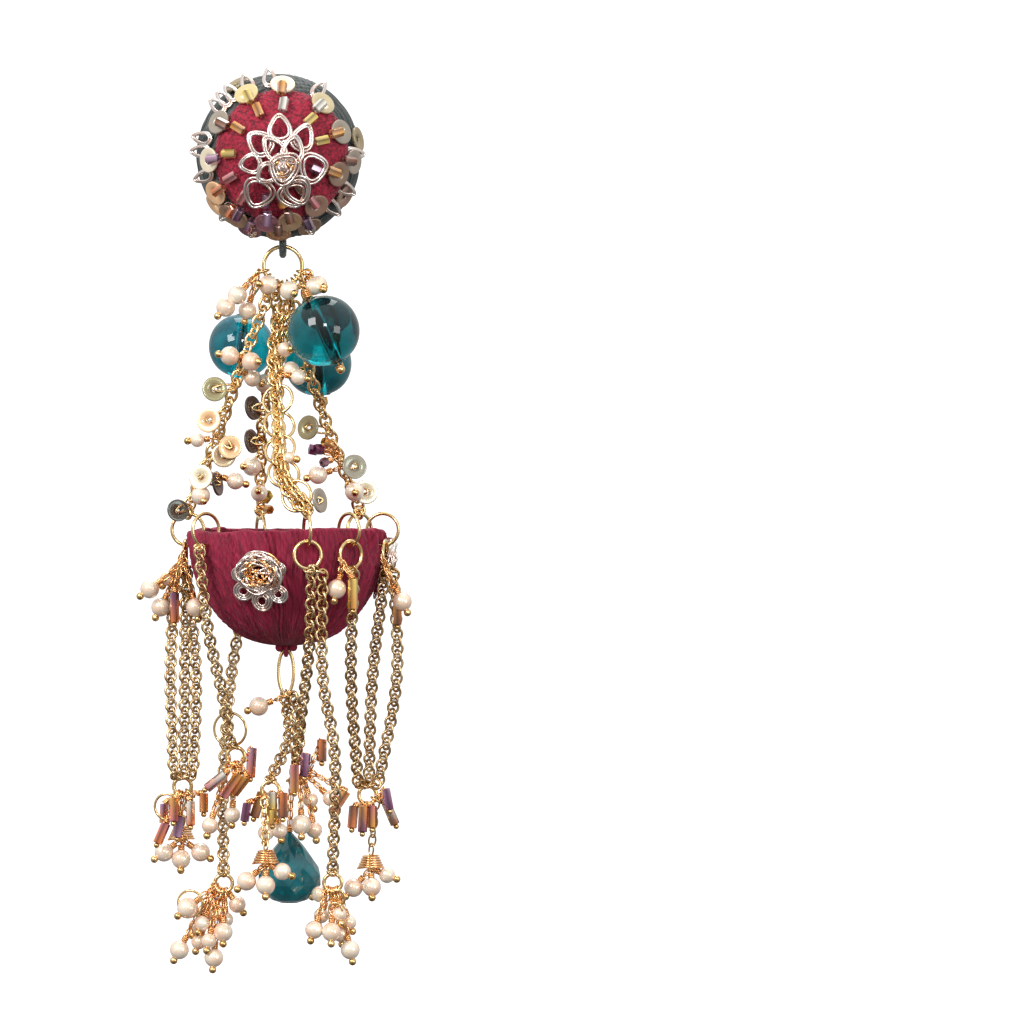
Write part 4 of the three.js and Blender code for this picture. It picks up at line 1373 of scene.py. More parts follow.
@dataclass(frozen=True)
class Chain:
    """A chain of oval links, each turned a quarter from the one before."""

    pitch: float = 0.92
    wire: float = 0.18
    half_width: float = 0.66
    look: Look = Look.ANTIQUE
    overlap: float = 1.6
    roll: float = 34.0

    def along(self, route: Route) -> Shell:
        """Lays whole links along a route.

        A link is as long as its share of the route and a little more at both ends, in wire radii.

        Args:
            route: The line of the chain.

        Returns:
            The links as one shell.
        """
        count = max(2, round(route.length / self.pitch))
        shares = (np.arange(count) + 0.5) / count
        half_length = route.length / count / 2 + self.overlap * self.wire
        link = link_of(half_length, self.half_width, self.wire, self.look, 14)
        places = aim(route.at(shares), route.along(shares), vec(1, -0.35, 0))
        return link.at(rolled(places, np.where(np.arange(count) % 2, self.roll, -self.roll)))


BRIGHT_CHAIN = Chain(1.2, 0.21, 0.66, Look.GOLD)
FINE_CHAIN = Chain()


@dataclass(frozen=True)
class Bead:
    """A pearl beside its hub, in pearl radii."""

    across: float
    depth: float
    down: float
    size: float = 1.0

    def hung(self, seat: Array, hub: Array) -> list[Shell]:
        """Returns the pearl beside its hub, on a pin from its seat."""
        return pearl_on_pin(seat, beside(hub, self.across, self.depth, self.down), self.size)


@dataclass(frozen=True)
class Tube:
    """A bugle bead beside its hub, from a start to a tip in pearl radii, with a colour at each end."""

    start: tuple[float, float, float]
    tip: tuple[float, float, float]
    upper: Colour = AMBER
    lower: Colour = ORANGE

    def hung(self, seat: Array, hub: Array) -> list[Shell]:
        """Returns the bugle bead beside its hub, on a pin from its seat."""
        colours = (self.upper, self.lower)
        return bugle_on_pin(seat, beside(hub, *self.start), beside(hub, *self.tip), colours)


@dataclass(frozen=True)
class Charm:
    """A sequin, pearl or cut bead on a chain.

    Args:
        share: Where on the chain it hangs, as a share of the way down.
        across: How far it is to the right of there, in pearl radii.
        depth: How far it is behind there, in pearl radii.
        down: How far it is below there, in pearl radii.
        turn: The angle that a sequin faces, from the front towards the right.
        size: Its size, as a share of the common one.
        tint: Its colour. A pearl has none.
        cut: True for a cut bead.
    """

    share: float
    across: float
    depth: float
    down: float
    turn: float = 0.0
    size: float = 1.0
    tint: Colour | None = None
    cut: bool = False


@dataclass(frozen=True)
class TealBead:
    """A glass bead beside the top ring, in teal radii."""

    name: str
    size: float
    across: float
    depth: float
    down: float
    lean: float
    angle: float
    towards: int
    tint: Colour = WHITE


@dataclass
class TopRing:
    """The gold ring under the stud, with its teal beads and its sprays of pearls."""

    shop: Workshop
    teal_radius: float = 4.5
    hole: float = 0.5
    beads: tuple[TealBead, ...] = (
        TealBead("front", 1.0, 1.16, -1.14, 1.84, 24, 305, -1),
        TealBead("rear", 0.94, 0.94, 1.4, 2.68, 8, 322, 1),
        TealBead("left", 0.91, -1.2, 1.2, 2.2, -6, 214, 1, (1.0, 2.1, 2.3)),
    )

    def build(self) -> None:
        """Makes the ring, the glass beads and the sprays."""
        ring = ring_of(TOP_RING_RADIUS, RING_WIRE, Look.GOLD, 72, 12)
        turned = ring.at(aim(TOP, vec(0, 1, 0)))
        self.shop.piece("ring", [turned], "gold_wire", "ring", ("top_ring",))
        for bead in self.beads:
            self._teal(bead)
        front = (Bead(-1.4, -1.3, -0.1), Bead(0.8, -1.5, 0.5), Bead(3.4, -1.6, 0.1, 0.9))
        self._spray("front", 268, -1, front)
        left = (Bead(-2.1, -0.5, 2.3), Bead(-3.3, -0.9, 3.6), Bead(-1.1, 0.7, 3.9, 0.95))
        self._spray("left", 196, 0, left)

    def _teal(self, bead: TealBead) -> None:
        """Makes a glass bead and its ball-ended pin.

        Args:
            bead: The bead's place and size.
        """
        radius = bead.size * self.teal_radius
        centre = TOP + vec(bead.across, bead.depth, -bead.down) * self.teal_radius
        up = vec(-sind(bead.lean), 0, cosd(bead.lean))
        arc = np.linspace(8, 172, 40)
        outer = np.stack([radius * sind(arc) ** 0.9, -0.96 * radius * cosd(arc)], axis=1)
        end = 0.97 * radius
        low = [[self.hole, -end], [2 * self.hole, -end]]
        high = [[2 * self.hole, end], [self.hole, end]]
        glass = lathe(np.vstack([low, outer[1:-1], high]), Look.TEAL, 64)
        glass = glass.tinted(bead.tint).at(aim(centre, up))
        node = "teal_bead_" + bead.name
        self.shop.piece("glass_" + bead.name, [glass], "teal_glass", "drop", (node,))
        eye, tail = top_eye(bead.angle, bead.towards)
        neck = centre + up * (radius + 2 * GAP + BALL_RADIUS)
        foot = centre - up * (radius + GAP + BALL_RADIUS)
        wrap = coil_of(0.42, 0.12, 1.1, 4.5, Look.COPPER).at(aim(neck + up * 0.3, up))
        cap = coil_of(0.5, 0.11, 0.4, 2.0, Look.COPPER).at(aim(foot + up * 0.55, up))
        ball = scaled(BALL, BALL_RADIUS).at(aim(foot, up))
        pin = [eye, wire_between(tail, neck, look=Look.GOLD), wire_between(neck, foot, look=Look.GOLD)]
        node = "teal_pin_" + bead.name
        self.shop.piece("pin_" + bead.name, [*pin, wrap, cap, ball], "gold_wire", "drop", (node,))

    def _spray(self, name: str, angle: float, towards: int, beads: tuple[Bead, ...]) -> None:
        """Makes pearls that leave one eye.

        Args:
            name: The spray's name.
            angle: Degrees round the top ring, from the right.
            towards: -1 if the pins leave to the front, 1 to the rear, 0 outwards.
            beads: The pearls.
        """
        eye, tail = top_eye(angle, towards)
        parts = [eye]
        for bead in beads:
            parts += bead.hung(tail, tail)
        self.shop.piece("spray_" + name, parts, "pearl", "drop", ("pearl_spray_" + name,))


@dataclass(frozen=True)
class ChainRow:
    """One of the four chains: its ends, its bends and what hangs on it."""

    name: str
    rim: str
    angle: float
    bends: tuple[tuple[float, float, float], ...]
    towards: int = 0
    big_links: int = 0
    collar: tuple[Bead, ...] = ()
    charms: tuple[Charm, ...] = ()


CHAIN_ROWS = (
    ChainRow(
        "front",
        "front",
        286,
        ((0.2, -0.07, 0.01), (0.55, -0.09, 0.02), (0.85, -0.085, 0.0)),
        big_links=4,
        charms=(
            Charm(0.97, 1.7, 0.6, -0.3, 60, tint=GREY),
            Charm(0.31, 1.5, 0.3, 0.1, size=0.9),
            Charm(0.33, 2.3, -0.6, 0.4, size=0.8),
            Charm(0.22, 0.9, -1.2, 0.0, size=0.8),
            Charm(0.72, 0.9, -0.3, 0.2, size=0.6),
        ),
    ),
    ChainRow(
        "left",
        "left",
        232,
        ((0.3, 0.0, -0.02), (0.7, 0.01, 0.0)),
        charms=(
            Charm(0.42, -2.0, -0.7, 0.2, 10, tint=KHAKI),
            Charm(0.54, -1.7, -0.9, 0.8, -15, tint=PEACH),
            Charm(0.64, 1.3, -1.0, 1.4, 0, 0.95, tint=PEACH),
            Charm(0.76, 1.6, -0.8, -0.4, 8, tint=(0.5, 0.34, 0.2)),
            Charm(0.83, -0.1, -1.9, 0.4, -20, tint=CREAM),
            Charm(0.86, 1.8, 0.4, 0.4, 70, tint=DARK),
            Charm(0.99, -1.1, -0.9, 0.4, 25, 0.9, tint=DARK),
            Charm(0.28, -1.5, -0.6, -0.2),
            Charm(0.3, 0.9, -1.1, 0.0),
            Charm(0.34, 1.3, 0.6, 0.8, size=0.9),
            Charm(0.66, -2.0, -0.3, 0.2, size=0.75),
            Charm(0.82, 3.3, 0.4, 1.0, size=0.9),
            Charm(0.9, 0.5, -1.5, 0.8),
        ),
    ),
    ChainRow(
        "right",
        "rear_right",
        340,
        ((0.3, -0.07, -0.075), (0.6, -0.055, -0.05)),
        collar=(Bead(1.2, -1.9, 1.1, 0.95),),
        charms=(
            Charm(0.63, -2.2, -0.4, -0.4, -35, tint=KHAKI),
            Charm(0.78, 1.4, -0.8, 0.4, 15, tint=GREY),
            Charm(0.91, 1.5, -1.2, 0.2, 5, tint=CREAM),
            Charm(0.8, -2.6, -0.8, 0.8),
            Charm(0.91, 0.3, -2.8, 0.2),
            Charm(0.72, -1.8, -0.9, -0.1, tint=PURPLE, cut=True),
            Charm(0.74, -2.6, -0.5, -0.5, tint=PURPLE, cut=True),
            Charm(0.75, -1.5, -1.2, 0.6, size=0.8, tint=PLUM, cut=True),
            Charm(0.7, -0.9, -1.2, -0.4, size=0.8, tint=AMBER, cut=True),
        ),
    ),
    ChainRow(
        "rear",
        "rear",
        250,
        ((0.2, 0.015, -0.02), (0.6, -0.02, 0.0)),
        towards=1,
        charms=(
            Charm(0.52, -1.2, -0.4, 0.0, 55, tint=DARK),
            Charm(0.68, -1.0, -0.4, 0.0, 60, tint=DARK),
            Charm(0.4, -0.4, -1.2, 0.0),
            Charm(0.8, -0.9, -1.0, 0.0),
            Charm(0.94, -0.1, -1.4, -0.3, size=0.9),
            Charm(0.97, 0.6, -1.3, -0.6, size=1.1, tint=YELLOW, cut=True),
            Charm(0.99, 0.9, -1.2, 0.3, size=0.8, tint=AMBER, cut=True),
        ),
    ),
)


@dataclass
class TopChains:
    """The chains from the top ring to the bowl's rim."""

    shop: Workshop
    stem: float = 1.6
    end_play: float = 0.4
    big_radius: float = 1.9
    big_overlap: float = 0.3

    def build(self) -> None:
        """Makes every chain."""
        for row in CHAIN_ROWS:
            self._chain(row)

    def _chain(self, row: ChainRow) -> None:
        """Makes one chain with its charms.

        Args:
            row: The chain's ends and what hangs on it.
        """
        eye, tail = top_eye(row.angle, row.towards)
        over_ring = RIM_RING_UP + RIM_RING_RADIUS + RIM_RING_WIRE + self.end_play
        end = beside_bowl(RIM_PLACES[row.rim], RIM_RING_AT, over_ring)
        start = tail - vec(0, 0, self.stem)
        route = routed(start, end, row.bends)
        ring_top = beside_bowl(RIM_PLACES[row.rim], RIM_RING_AT, RIM_RING_UP + RIM_RING_RADIUS - 0.3)
        stem = routed(tail + vec(0, 0, 0.3), start, ())
        parts = [eye, BRIGHT_CHAIN.along(route), BRIGHT_CHAIN.along(stem)]
        parts.append(BRIGHT_CHAIN.along(routed(end, ring_top, ())))
        if row.big_links:
            aside = vec(0.75, 0.5, 0)
            parts.append(BRIGHT_CHAIN.along(routed(start + aside, end - aside, row.bends)))
            parts.append(BRIGHT_CHAIN.along(routed(start - aside, end + 0.4 * aside, row.bends)))
        for bead in row.collar:
            parts += bead.hung(tail, tail)
        pitch = 2 * self.big_radius - self.big_overlap
        for number in range(row.big_links + 1 if row.big_links else 0):
            share = 1 - (self.big_radius + RING_WIRE + pitch * number) / route.length
            along = route.along(share)[0]
            facing = vec(0.25 * (-1) ** number, 1, 0)
            facing = facing - along * float(np.dot(facing, along))
            big = ring_of(self.big_radius, 0.8 * RING_WIRE, Look.GOLD, 44, 8)
            parts.append(big.at(aim(route.at(share), facing)))
        for charm in row.charms:
            parts += self._charm(route, charm)
        self.shop.piece("links_" + row.name, parts, "gold_wire", "drop", ("chain_" + row.name,))

    def _charm(self, route: Route, charm: Charm) -> list[Shell]:
        """Makes a sequin on an oval link, or a pearl or cut bead on its pin.

        Args:
            route: The chain's line.
            charm: What hangs on it.

        Returns:
            The shells.
        """
        held = route.at(charm.share)[0]
        middle = beside(held, charm.across, charm.depth, charm.down)
        if charm.tint is None:
            return pearl_on_pin(held, middle, charm.size)
        if charm.cut:
            half = unit(middle - held) * 0.55 * charm.size
            bead = bugle_of(1.1 * charm.size, 0.75 * charm.size, charm.tint, charm.tint)
            return [bead.at(aim(middle - half, half)), *pinned(held, middle - half)]
        facing = unit(vec(sind(charm.turn), -cosd(charm.turn), 0.15))
        sequin = scaled(SEQUIN, charm.size).tinted(charm.tint)
        reach = float(np.linalg.norm(middle - held))
        link = link_of(0.5 * reach + 0.25, 0.42, 0.16, Look.GOLD, 20)
        halfway = (held + middle) / 2 + facing * 0.18
        aside = np.cross(facing, middle - held)
        return [sequin.at(aim(middle, facing)), link.at(aim(halfway, middle - held, aside))]


@dataclass
class Bowl:
    """The silk bowl with its knot, rim rings and wire flowers."""

    shop: Workshop
    flowers: tuple[tuple[str, float, float], ...] = (("front", -13.5, 0.4), ("right", 99.0, 0.3))
    cap_wires: int = 30
    columns: int = 900
    thread_height: float = 0.12
    crossed_height: float = 0.08
    fold_height: float = 0.13
    fuzz: float = 0.035
    sag: float = 0.12
    loops: tuple[tuple[float, float], ...] = (
        (212, 1.25),
        (268, 1.3),
        (318, 1.2),
        (30, 0.9),
        (105, 0.9),
        (165, 0.95),
    )

    def build(self) -> None:
        """Makes the bowl and what is fixed to it."""
        self._silk()
        for name, place in RIM_PLACES.items():
            ring = ring_of(RIM_RING_RADIUS, RIM_RING_WIRE, Look.GOLD, 44, 9)
            centre = beside_bowl(place, RIM_RING_AT, RIM_RING_UP)
            shell = ring.at(aim(centre, outward(place + 90)))
            self.shop.piece("hoop_" + name, [shell], "gold_wire", "drop", ("rim_ring_" + name,))
        for name, place, down in self.flowers:
            self._flower(name, place, down)

    def _silk(self) -> None:
        """The wound wall, with threads and folds that run from the rim to the pole and stand proud.

        Radius and height follow an outer arc, a round lip and an inner arc, each by the cosine and sine of
        its angle. The rim sways a little by the sine of twice the spin.
        """
        rng = np.random.default_rng(11)
        spin = round_angles(self.columns)[None, :]
        outer_arc = 90 - 90 * np.linspace(0, 1, 66)[:, None] ** 0.8
        lip_arc = np.linspace(20, 160, 7)[:, None]
        inner_arc = np.linspace(0, 90, 14)[:, None]
        half = BOWL_WALL / 2
        radius = np.concatenate(
            [
                (BOWL_RADIUS - self.sag) * np.maximum(cosd(outer_arc), 0) ** 0.9 + 0.02,
                BOWL_RADIUS - self.sag - half + half * cosd(lip_arc),
                (BOWL_RADIUS - BOWL_WALL) * np.maximum(cosd(inner_arc), 0) ** 0.9 + 0.02,
            ]
        )
        height = np.concatenate(
            [
                -BOWL_DEPTH * sind(outer_arc),
                0.3 * sind(lip_arc),
                -(BOWL_DEPTH - BOWL_WALL) * sind(inner_arc),
            ]
        )
        outside = np.concatenate([np.ones_like(outer_arc), 0.8 * np.ones_like(lip_arc), 0 * inner_arc])
        slant = 16 * sind(6 * height) + 5 * sind(47 * height)
        threads = self._wound(rng, 5, slant)
        crossed = self._wound(rng, 7, -slant + 9 * height)
        folds = self._wound(rng, 34, 2 * slant)
        ridge = self.thread_height * threads + self.crossed_height * crossed + self.fold_height * folds
        ridge = ridge - self.sag
        ridge = ridge * outside * np.clip(radius / 5, 0, 1)
        fuzz = rng.normal(0, self.fuzz, ridge.shape) * outside
        reach = radius + ridge + fuzz
        sway = 0.22 * sind(2 * spin + 200) + 0.1 * folds[:1]
        sway = sway * np.clip(1 + height / 4, 0, 1)
        points = stacked(reach * cosd(spin), reach * sind(spin), height + sway)
        down = np.linspace(0, 4, len(radius))[:, None]
        weave = stacked(30 * cosd(spin), 30 * sind(spin), down)
        silk = grid(points + BOWL, Look.SILK, False, weave=weave)
        pole = BOWL - vec(0, 0, BOWL_DEPTH + LOOP_RADIUS - 0.25)
        knot = ring_of(LOOP_RADIUS, 0.3, Look.SILK, 28, 8).at(aim(pole, vec(1, 0, 0)))
        lumps = np.array([[0, 0, 0.1], [0.9, -0.4, -0.15], [-0.8, -0.3, -0.2], [0.3, 0.7, -0.15]])
        knobs = [
            scaled(ball_of(1, Look.SILK), 0.55).at(aim(BOWL - vec(0, 0, BOWL_DEPTH) + lump, vec(0, 0.2, 1)))
            for lump in lumps
        ]
        self.shop.piece("wound_bowl", [silk, knot, *knobs], "maroon_silk", "drop", ("silk_bowl",))

    def _wound(self, rng: np.random.Generator, width: int, shift: Array) -> Array:
        """Makes the heights of threads side by side round the bowl, from -1 to 1 or so.

        Args:
            rng: The source of chance.
            width: How many columns a thread is wide.
            shift: How many columns the threads have gone aside in each row.

        Returns:
            The height of each point, a row for each row of the bowl.
        """
        count = self.columns
        wave = np.convolve(np.tile(rng.normal(0, 1, count), 3), np.hanning(width + 2), "same")
        wave = wave[count : 2 * count] / np.std(wave)
        return wave[(np.arange(count)[None, :] + np.round(shift).astype(int)) % count]

    def _flower(self, name: str, place: float, down: float) -> None:
        """A flower of tangled wire with doubled loops below.

        Args:
            name: The flower's name.
            place: Where it is round the bowl.
            down: How far it is down the bowl, as a share of the bowl's depth.
        """
        slope = float(np.degrees(np.arcsin(down)))
        normal = unit(outward(place) * cosd(slope) / BOWL_RADIUS - vec(0, 0, sind(slope) / BOWL_DEPTH))
        seat = beside_bowl(place, BOWL_RADIUS * cosd(slope) ** 0.9, -BOWL_DEPTH * down)
        rng = np.random.default_rng(len(name))
        aside = unit(np.cross(vec(0, 0, 1), normal))
        up = np.cross(normal, aside)
        parts = []
        for number in range(self.cap_wires):
            radius = rng.uniform(0.4, 3.0)
            path = tangle(radius, rng.uniform(0, 6), rng.uniform(0.6, 1.0))
            spread = (3.2 - radius) * rng.normal(0, 0.32, 2)
            middle = seat + aside * spread[0] + up * (1.0 + spread[1]) + normal * (1.6 - 0.36 * radius)
            look = Look.COPPER if number % 3 == 2 else Look.SILVER
            wire = sweep(path, FLOWER_WIRE, look, vec(0, 0, 1), 6, closed=True)
            tipped = normal + rng.normal(0, 0.18, 3)
            parts.append(wire.at(rolled(aim(middle, tipped, aside), rng.uniform(-40, 40))))
        spin = round_angles(34)
        for angle, size in self.loops:
            along = aside * cosd(angle) + up * sind(angle)
            middle = seat + along * 2.75 + normal * 0.5
            for shrink in (1.0, 0.74, 0.48):
                across = 0.92 * shrink * size * cosd(spin)
                path = stacked(across, shrink * size * sind(spin), 0.2 * (1 - shrink))
                wire = sweep(path, FLOWER_WIRE, Look.SILVER, vec(0, 0, 1), 6, closed=True)
                parts.append(wire.at(aim(middle, normal, np.cross(along, normal))))
        self.shop.piece("bloom_" + name, parts, "silver_wire", "drop", ("bowl_flower_" + name,))


@dataclass(frozen=True)
class HangerRow:
    """A hanger on a rim ring: where its beads leave it, and the beads."""

    name: str
    lean: float = 0.0
    pearls: tuple[Bead, ...] = ()
    tubes: tuple[Tube, ...] = ()


@dataclass
class Hangers:
    """The rings on the rim rings that hold strands and beads."""

    shop: Workshop
    seat_step: float = 14.0
    rows: tuple[HangerRow, ...] = (
        HangerRow(
            "left",
            50,
            (Bead(-3.6, 0, 2.7), Bead(-2.5, 0.8, 4.6), Bead(1.2, -0.9, 4.6), Bead(-1.8, 1, 1.6, 0.8)),
            (Tube((-1, -0.6, 3.1), (-1, -0.9, 6.2), PURPLE, ORANGE),),
        ),
        HangerRow("front"),
        HangerRow(
            "front_right",
            -50,
            (Bead(-0.6, -0.4, 2.6),),
            (Tube((1.1, -0.8, 1.6), (1.1, -1, 4.7), YELLOW, AMBER),),
        ),
        HangerRow(
            "right", -60, (Bead(2, 0.2, 4.2),), (Tube((1.5, 0.5, 4.1), (1.5, 0.6, 6.6), AMBER, BROWN),)
        ),
        HangerRow("rear"),
    )

    def build(self) -> None:
        """Makes every hanger."""
        for row in self.rows:
            place = RIM_PLACES[row.name]
            centre, aside = hanger_centre(place), outward(place + 90)
            hub = on_ring(centre, aside, HANGER_RADIUS, row.lean)
            step = float(np.sign(row.lean)) * self.seat_step
            ring = ring_of(HANGER_RADIUS, RING_WIRE, Look.GOLD, 44, 9)
            parts = [ring.at(aim(centre, outward(place)))]
            for number, bead in enumerate(row.pearls):
                seat = on_ring(centre, aside, HANGER_RADIUS, row.lean + step * number)
                parts += bead.hung(seat, hub)
            for number, tube in enumerate(row.tubes):
                seat = on_ring(centre, aside, HANGER_RADIUS, row.lean + step * (number + len(row.pearls)))
                parts += tube.hung(seat, hub)
            self.shop.piece("hanger_" + row.name, parts, "pearl", "drop", ("rim_drops_" + row.name,))


@dataclass
class Base:
    """The oval ring under the bowl, with its pearl."""

    shop: Workshop
    half_width: float = 0.95
    half_height: float = 2.8

    def __post_init__(self) -> None:
        """Works out where the ring hangs in the bowl's knot."""
        knot = BOWL[2] - BOWL_DEPTH - (LOOP_RADIUS - 0.25)
        self.centre = vec(BOWL[0], BOWL[1], knot - self.half_height)
        self.foot = self.centre - vec(0, 0, self.half_height)

    def build(self) -> None:
        """Makes the ring and its pearl."""
        link = link_of(self.half_height, self.half_width, RING_WIRE, Look.GOLD, 48)
        self.shop.piece(
            "base_link", [link.at(aim(self.centre, vec(0, 0, 1)))], "gold_wire", "drop", ("base_ring",)
        )
        eye = self.foot - vec(0, 0, EYE_SHIFT)
        tail = eye - vec(0, LOOP_RADIUS, 0)
        parts = [EYE.at(aim(eye, vec(1, 0, 0))), *pearl_on_pin(tail, beside(tail, -2.8, -0.6, 1.1))]
        self.shop.piece("base_drop", parts, "pearl", "drop", ("base_pearl",))


@dataclass(frozen=True)
class TasselRow:
    """A hub's ring: its pearls, its bugle beads and further rings beside it, in pearl radii."""

    name: str
    pearls: tuple[Bead, ...] = ()
    tubes: tuple[Tube, ...] = ()
    rings: tuple[Bead, ...] = ()


TASSEL_ROWS = (
    TasselRow(
        "left",
        (),
        (
            Tube((-0.9, -0.9, 0.3), (-0.9, -1.3, 2.7), AMBER, PINK),
            Tube((0.9, -1, 0.6), (0.9, -1.4, 3.1), SILVERY, ORANGE),
            Tube((2.2, 0.2, -0.2), (2.2, 0.1, 1.8), ORANGE, AMBER),
            Tube((-1.7, -0.3, 2.9), (-2.6, -0.5, 5), PINK, ORANGE),
            Tube((-0.3, 0.5, 2.2), (-0.6, 0.5, 4.4), PURPLE, LILAC),
            Tube((-1.9, 0.2, 0.9), (-2, 0.2, 2.9), LILAC, AMBER),
        ),
        (Bead(-1.6, -0.4, 1.2, 1.35),),
    ),
    TasselRow(
        "inner",
        (Bead(-2.7, 0.5, 6.3, 0.85), Bead(-0.4, 0.8, 5.2, 0.85)),
        (
            Tube((-1.1, -1, 0.9), (-3, -1.2, 2.4), SILVERY, PINK),
            Tube((0.4, -0.6, 0.9), (-1.3, -0.6, 3.3), AMBER, PINK),
            Tube((1.7, 0.4, -1.8), (1.5, 0.4, 1.3), LILAC, ORANGE),
            Tube((1.2, -0.2, 1.2), (-0.2, 0.1, 3), AMBER, ORANGE),
        ),
        (Bead(-0.6, 0.2, -3.7, 1.75),),
    ),
    TasselRow(
        "low_left",
        (
            Bead(-3.7, -1.2, 1.6, 1.1),
            Bead(-4.6, -0.2, 6),
            Bead(-2.6, 0.4, 5.2, 0.8),
            Bead(-1, -0.4, 6.8),
            Bead(0, -1, 4.1),
            Bead(1.4, 0.6, 1.3, 0.9),
            Bead(-2.2, -0.9, 3.2, 0.8),
            Bead(-1.2, 0.4, 2.4, 0.75),
            Bead(-2.9, 0.5, 3.6, 0.8),
            Bead(0.2, 0.7, 2.9, 0.8),
            Bead(-1.5, -1.1, 5.0, 0.8),
        ),
        (),
        (Bead(-3.4, -1.4, 1.1, 1.35),),
    ),
    TasselRow(
        "centre",
        (Bead(-0.5, 0.9, 3.5, 0.85), Bead(0.9, 0.8, 3.3, 0.8)),
        (
            Tube((0.2, -0.8, -0.8), (0.2, -0.7, 1.0), SILVERY, YELLOW),
            Tube((0.2, -0.75, 1.1), (0.2, -0.7, 2.6), YELLOW, AMBER),
            Tube((-0.9, 0.4, -0.7), (-1.7, 0.4, 1.9), AMBER, BROWN),
            Tube((1.3, -0.5, -0.7), (1.3, -0.6, 1.9), ORANGE, BROWN),
            Tube((-2.4, 0.2, 0.4), (-2.7, 0.2, 2.3), PURPLE, PURPLE),
        ),
    ),
    TasselRow(
        "mid",
        (
            Bead(0.2, -1.2, 4.5, 1.05),
            Bead(1.5, 0, 5.1, 0.85),
            Bead(1.1, 0.6, 2, 0.8),
            Bead(3.2, 0.1, 1.8, 0.85),
        ),
        (
            Tube((-0.5, -1.7, -1.7), (-0.5, -1.6, 1.1), PINK, AMBER),
            Tube((0.7, -1.2, -2.9), (0.5, -1.2, -0.5), LILAC, PURPLE),
            Tube((2.3, 0, -4.3), (2.3, -0.2, -2), ORANGE, BROWN),
            Tube((4.9, -0.2, 1.1), (3.5, -0.3, 3.2), AMBER, PINK),
        ),
    ),
    TasselRow(
        "right",
        (),
        (
            Tube((-1.4, -0.8, 0.2), (-1.6, -1.1, 2.5), BROWN, ORANGE),
            Tube((-0.4, -1.2, 0.2), (-0.5, -1.6, 2.9), AMBER, PURPLE),
            Tube((0.5, -0.7, 0.2), (0.5, -1.1, 2.5), PINK, AMBER),
            Tube((1.7, 0.4, -0.6), (2.9, 0.6, 2.2), SILVERY, BROWN),
            Tube((1.9, -0.2, -1.6), (2.3, 0, 0.6), LILAC, PURPLE),
        ),
    ),
    TasselRow(
        "low_right",
        (
            Bead(-1.9, -0.8, 3.9, 0.95),
            Bead(-0.1, -1.3, 4.1),
            Bead(1.8, -0.2, 6),
            Bead(-1.4, 0.9, 0.3, 0.85),
            Bead(1.7, 0.5, 3.2, 0.75),
            Bead(-1.2, 0.5, 2.5, 0.8),
            Bead(0.7, -0.6, 2.3, 0.75),
            Bead(0.8, 0.6, 4.4, 0.85),
        ),
        (),
        (Bead(0.5, -0.4, 0.6, 0.8), Bead(0.3, -0.9, 1.8, 0.7)),
    ),
)


@dataclass
class Tassels:
    """The beads at the strands' ends."""

    shop: Workshop
    seat_turn: float = 20.0

    def build(self) -> None:
        """Makes every tassel."""
        for row in TASSEL_ROWS:
            self._tassel(row)

    def _tassel(self, row: TasselRow) -> None:
        """Makes one hub's ring with its beads.

        Args:
            row: The hub and its beads.
        """
        hub, right = hub_at(row.name), vec(1, 0, 0)
        foot = on_ring(hub, right, HUB_RADIUS, 0)
        parts = [ring_of(HUB_RADIUS, RING_WIRE, Look.GOLD, 36, 9).at(aim(hub, vec(0, 1, 0)))]
        for bead in row.pearls:
            seat = on_ring(hub, right, HUB_RADIUS, self.seat_turn * bead.across)
            parts += bead.hung(seat, foot)
        for tube in row.tubes:
            seat = on_ring(hub, right, HUB_RADIUS, self.seat_turn * tube.start[0])
            parts += tube.hung(seat, foot)
        for ring in row.rings:
            centre = beside(foot, ring.across, ring.depth, ring.down)
            wire = ring_of(ring.size * PEARL_RADIUS, 0.7 * RING_WIRE, Look.GOLD, 40, 8)
            parts.append(wire.at(aim(centre, vec(0.3, 1, 0.1))))
        slot = "amber_glass" if row.tubes else "pearl"
        self.shop.piece("fringe_" + row.name, parts, slot, "drop", ("tassel_" + row.name,))


def hub_eye(hub: str, lean: float, side: int) -> tuple[Shell, Array]:
    """Makes an eye on a hub's ring.

    Args:
        hub: The hub's name.
        lean: Degrees from the ring's foot.
        side: -1 if its tail leaves to the front, 1 to the rear.

    Returns:
        The eye, and the point where its tail leaves.
    """
    out = vec(sind(lean), 0, -cosd(lean))
    centre = hub_at(hub) + out * (HUB_RADIUS + EYE_SHIFT)
    return EYE.at(aim(centre, vec(cosd(lean), 0, sind(lean)))), centre + vec(0, side * LOOP_RADIUS, 0)


@dataclass(frozen=True)
class HungRow:
    """Pearls under a coil of copper wire, that hang on a stem from a hub."""

    name: str
    hub: str
    lean: float
    side: int
    stem: tuple[float, float, float]
    pearls: tuple[Bead, ...]


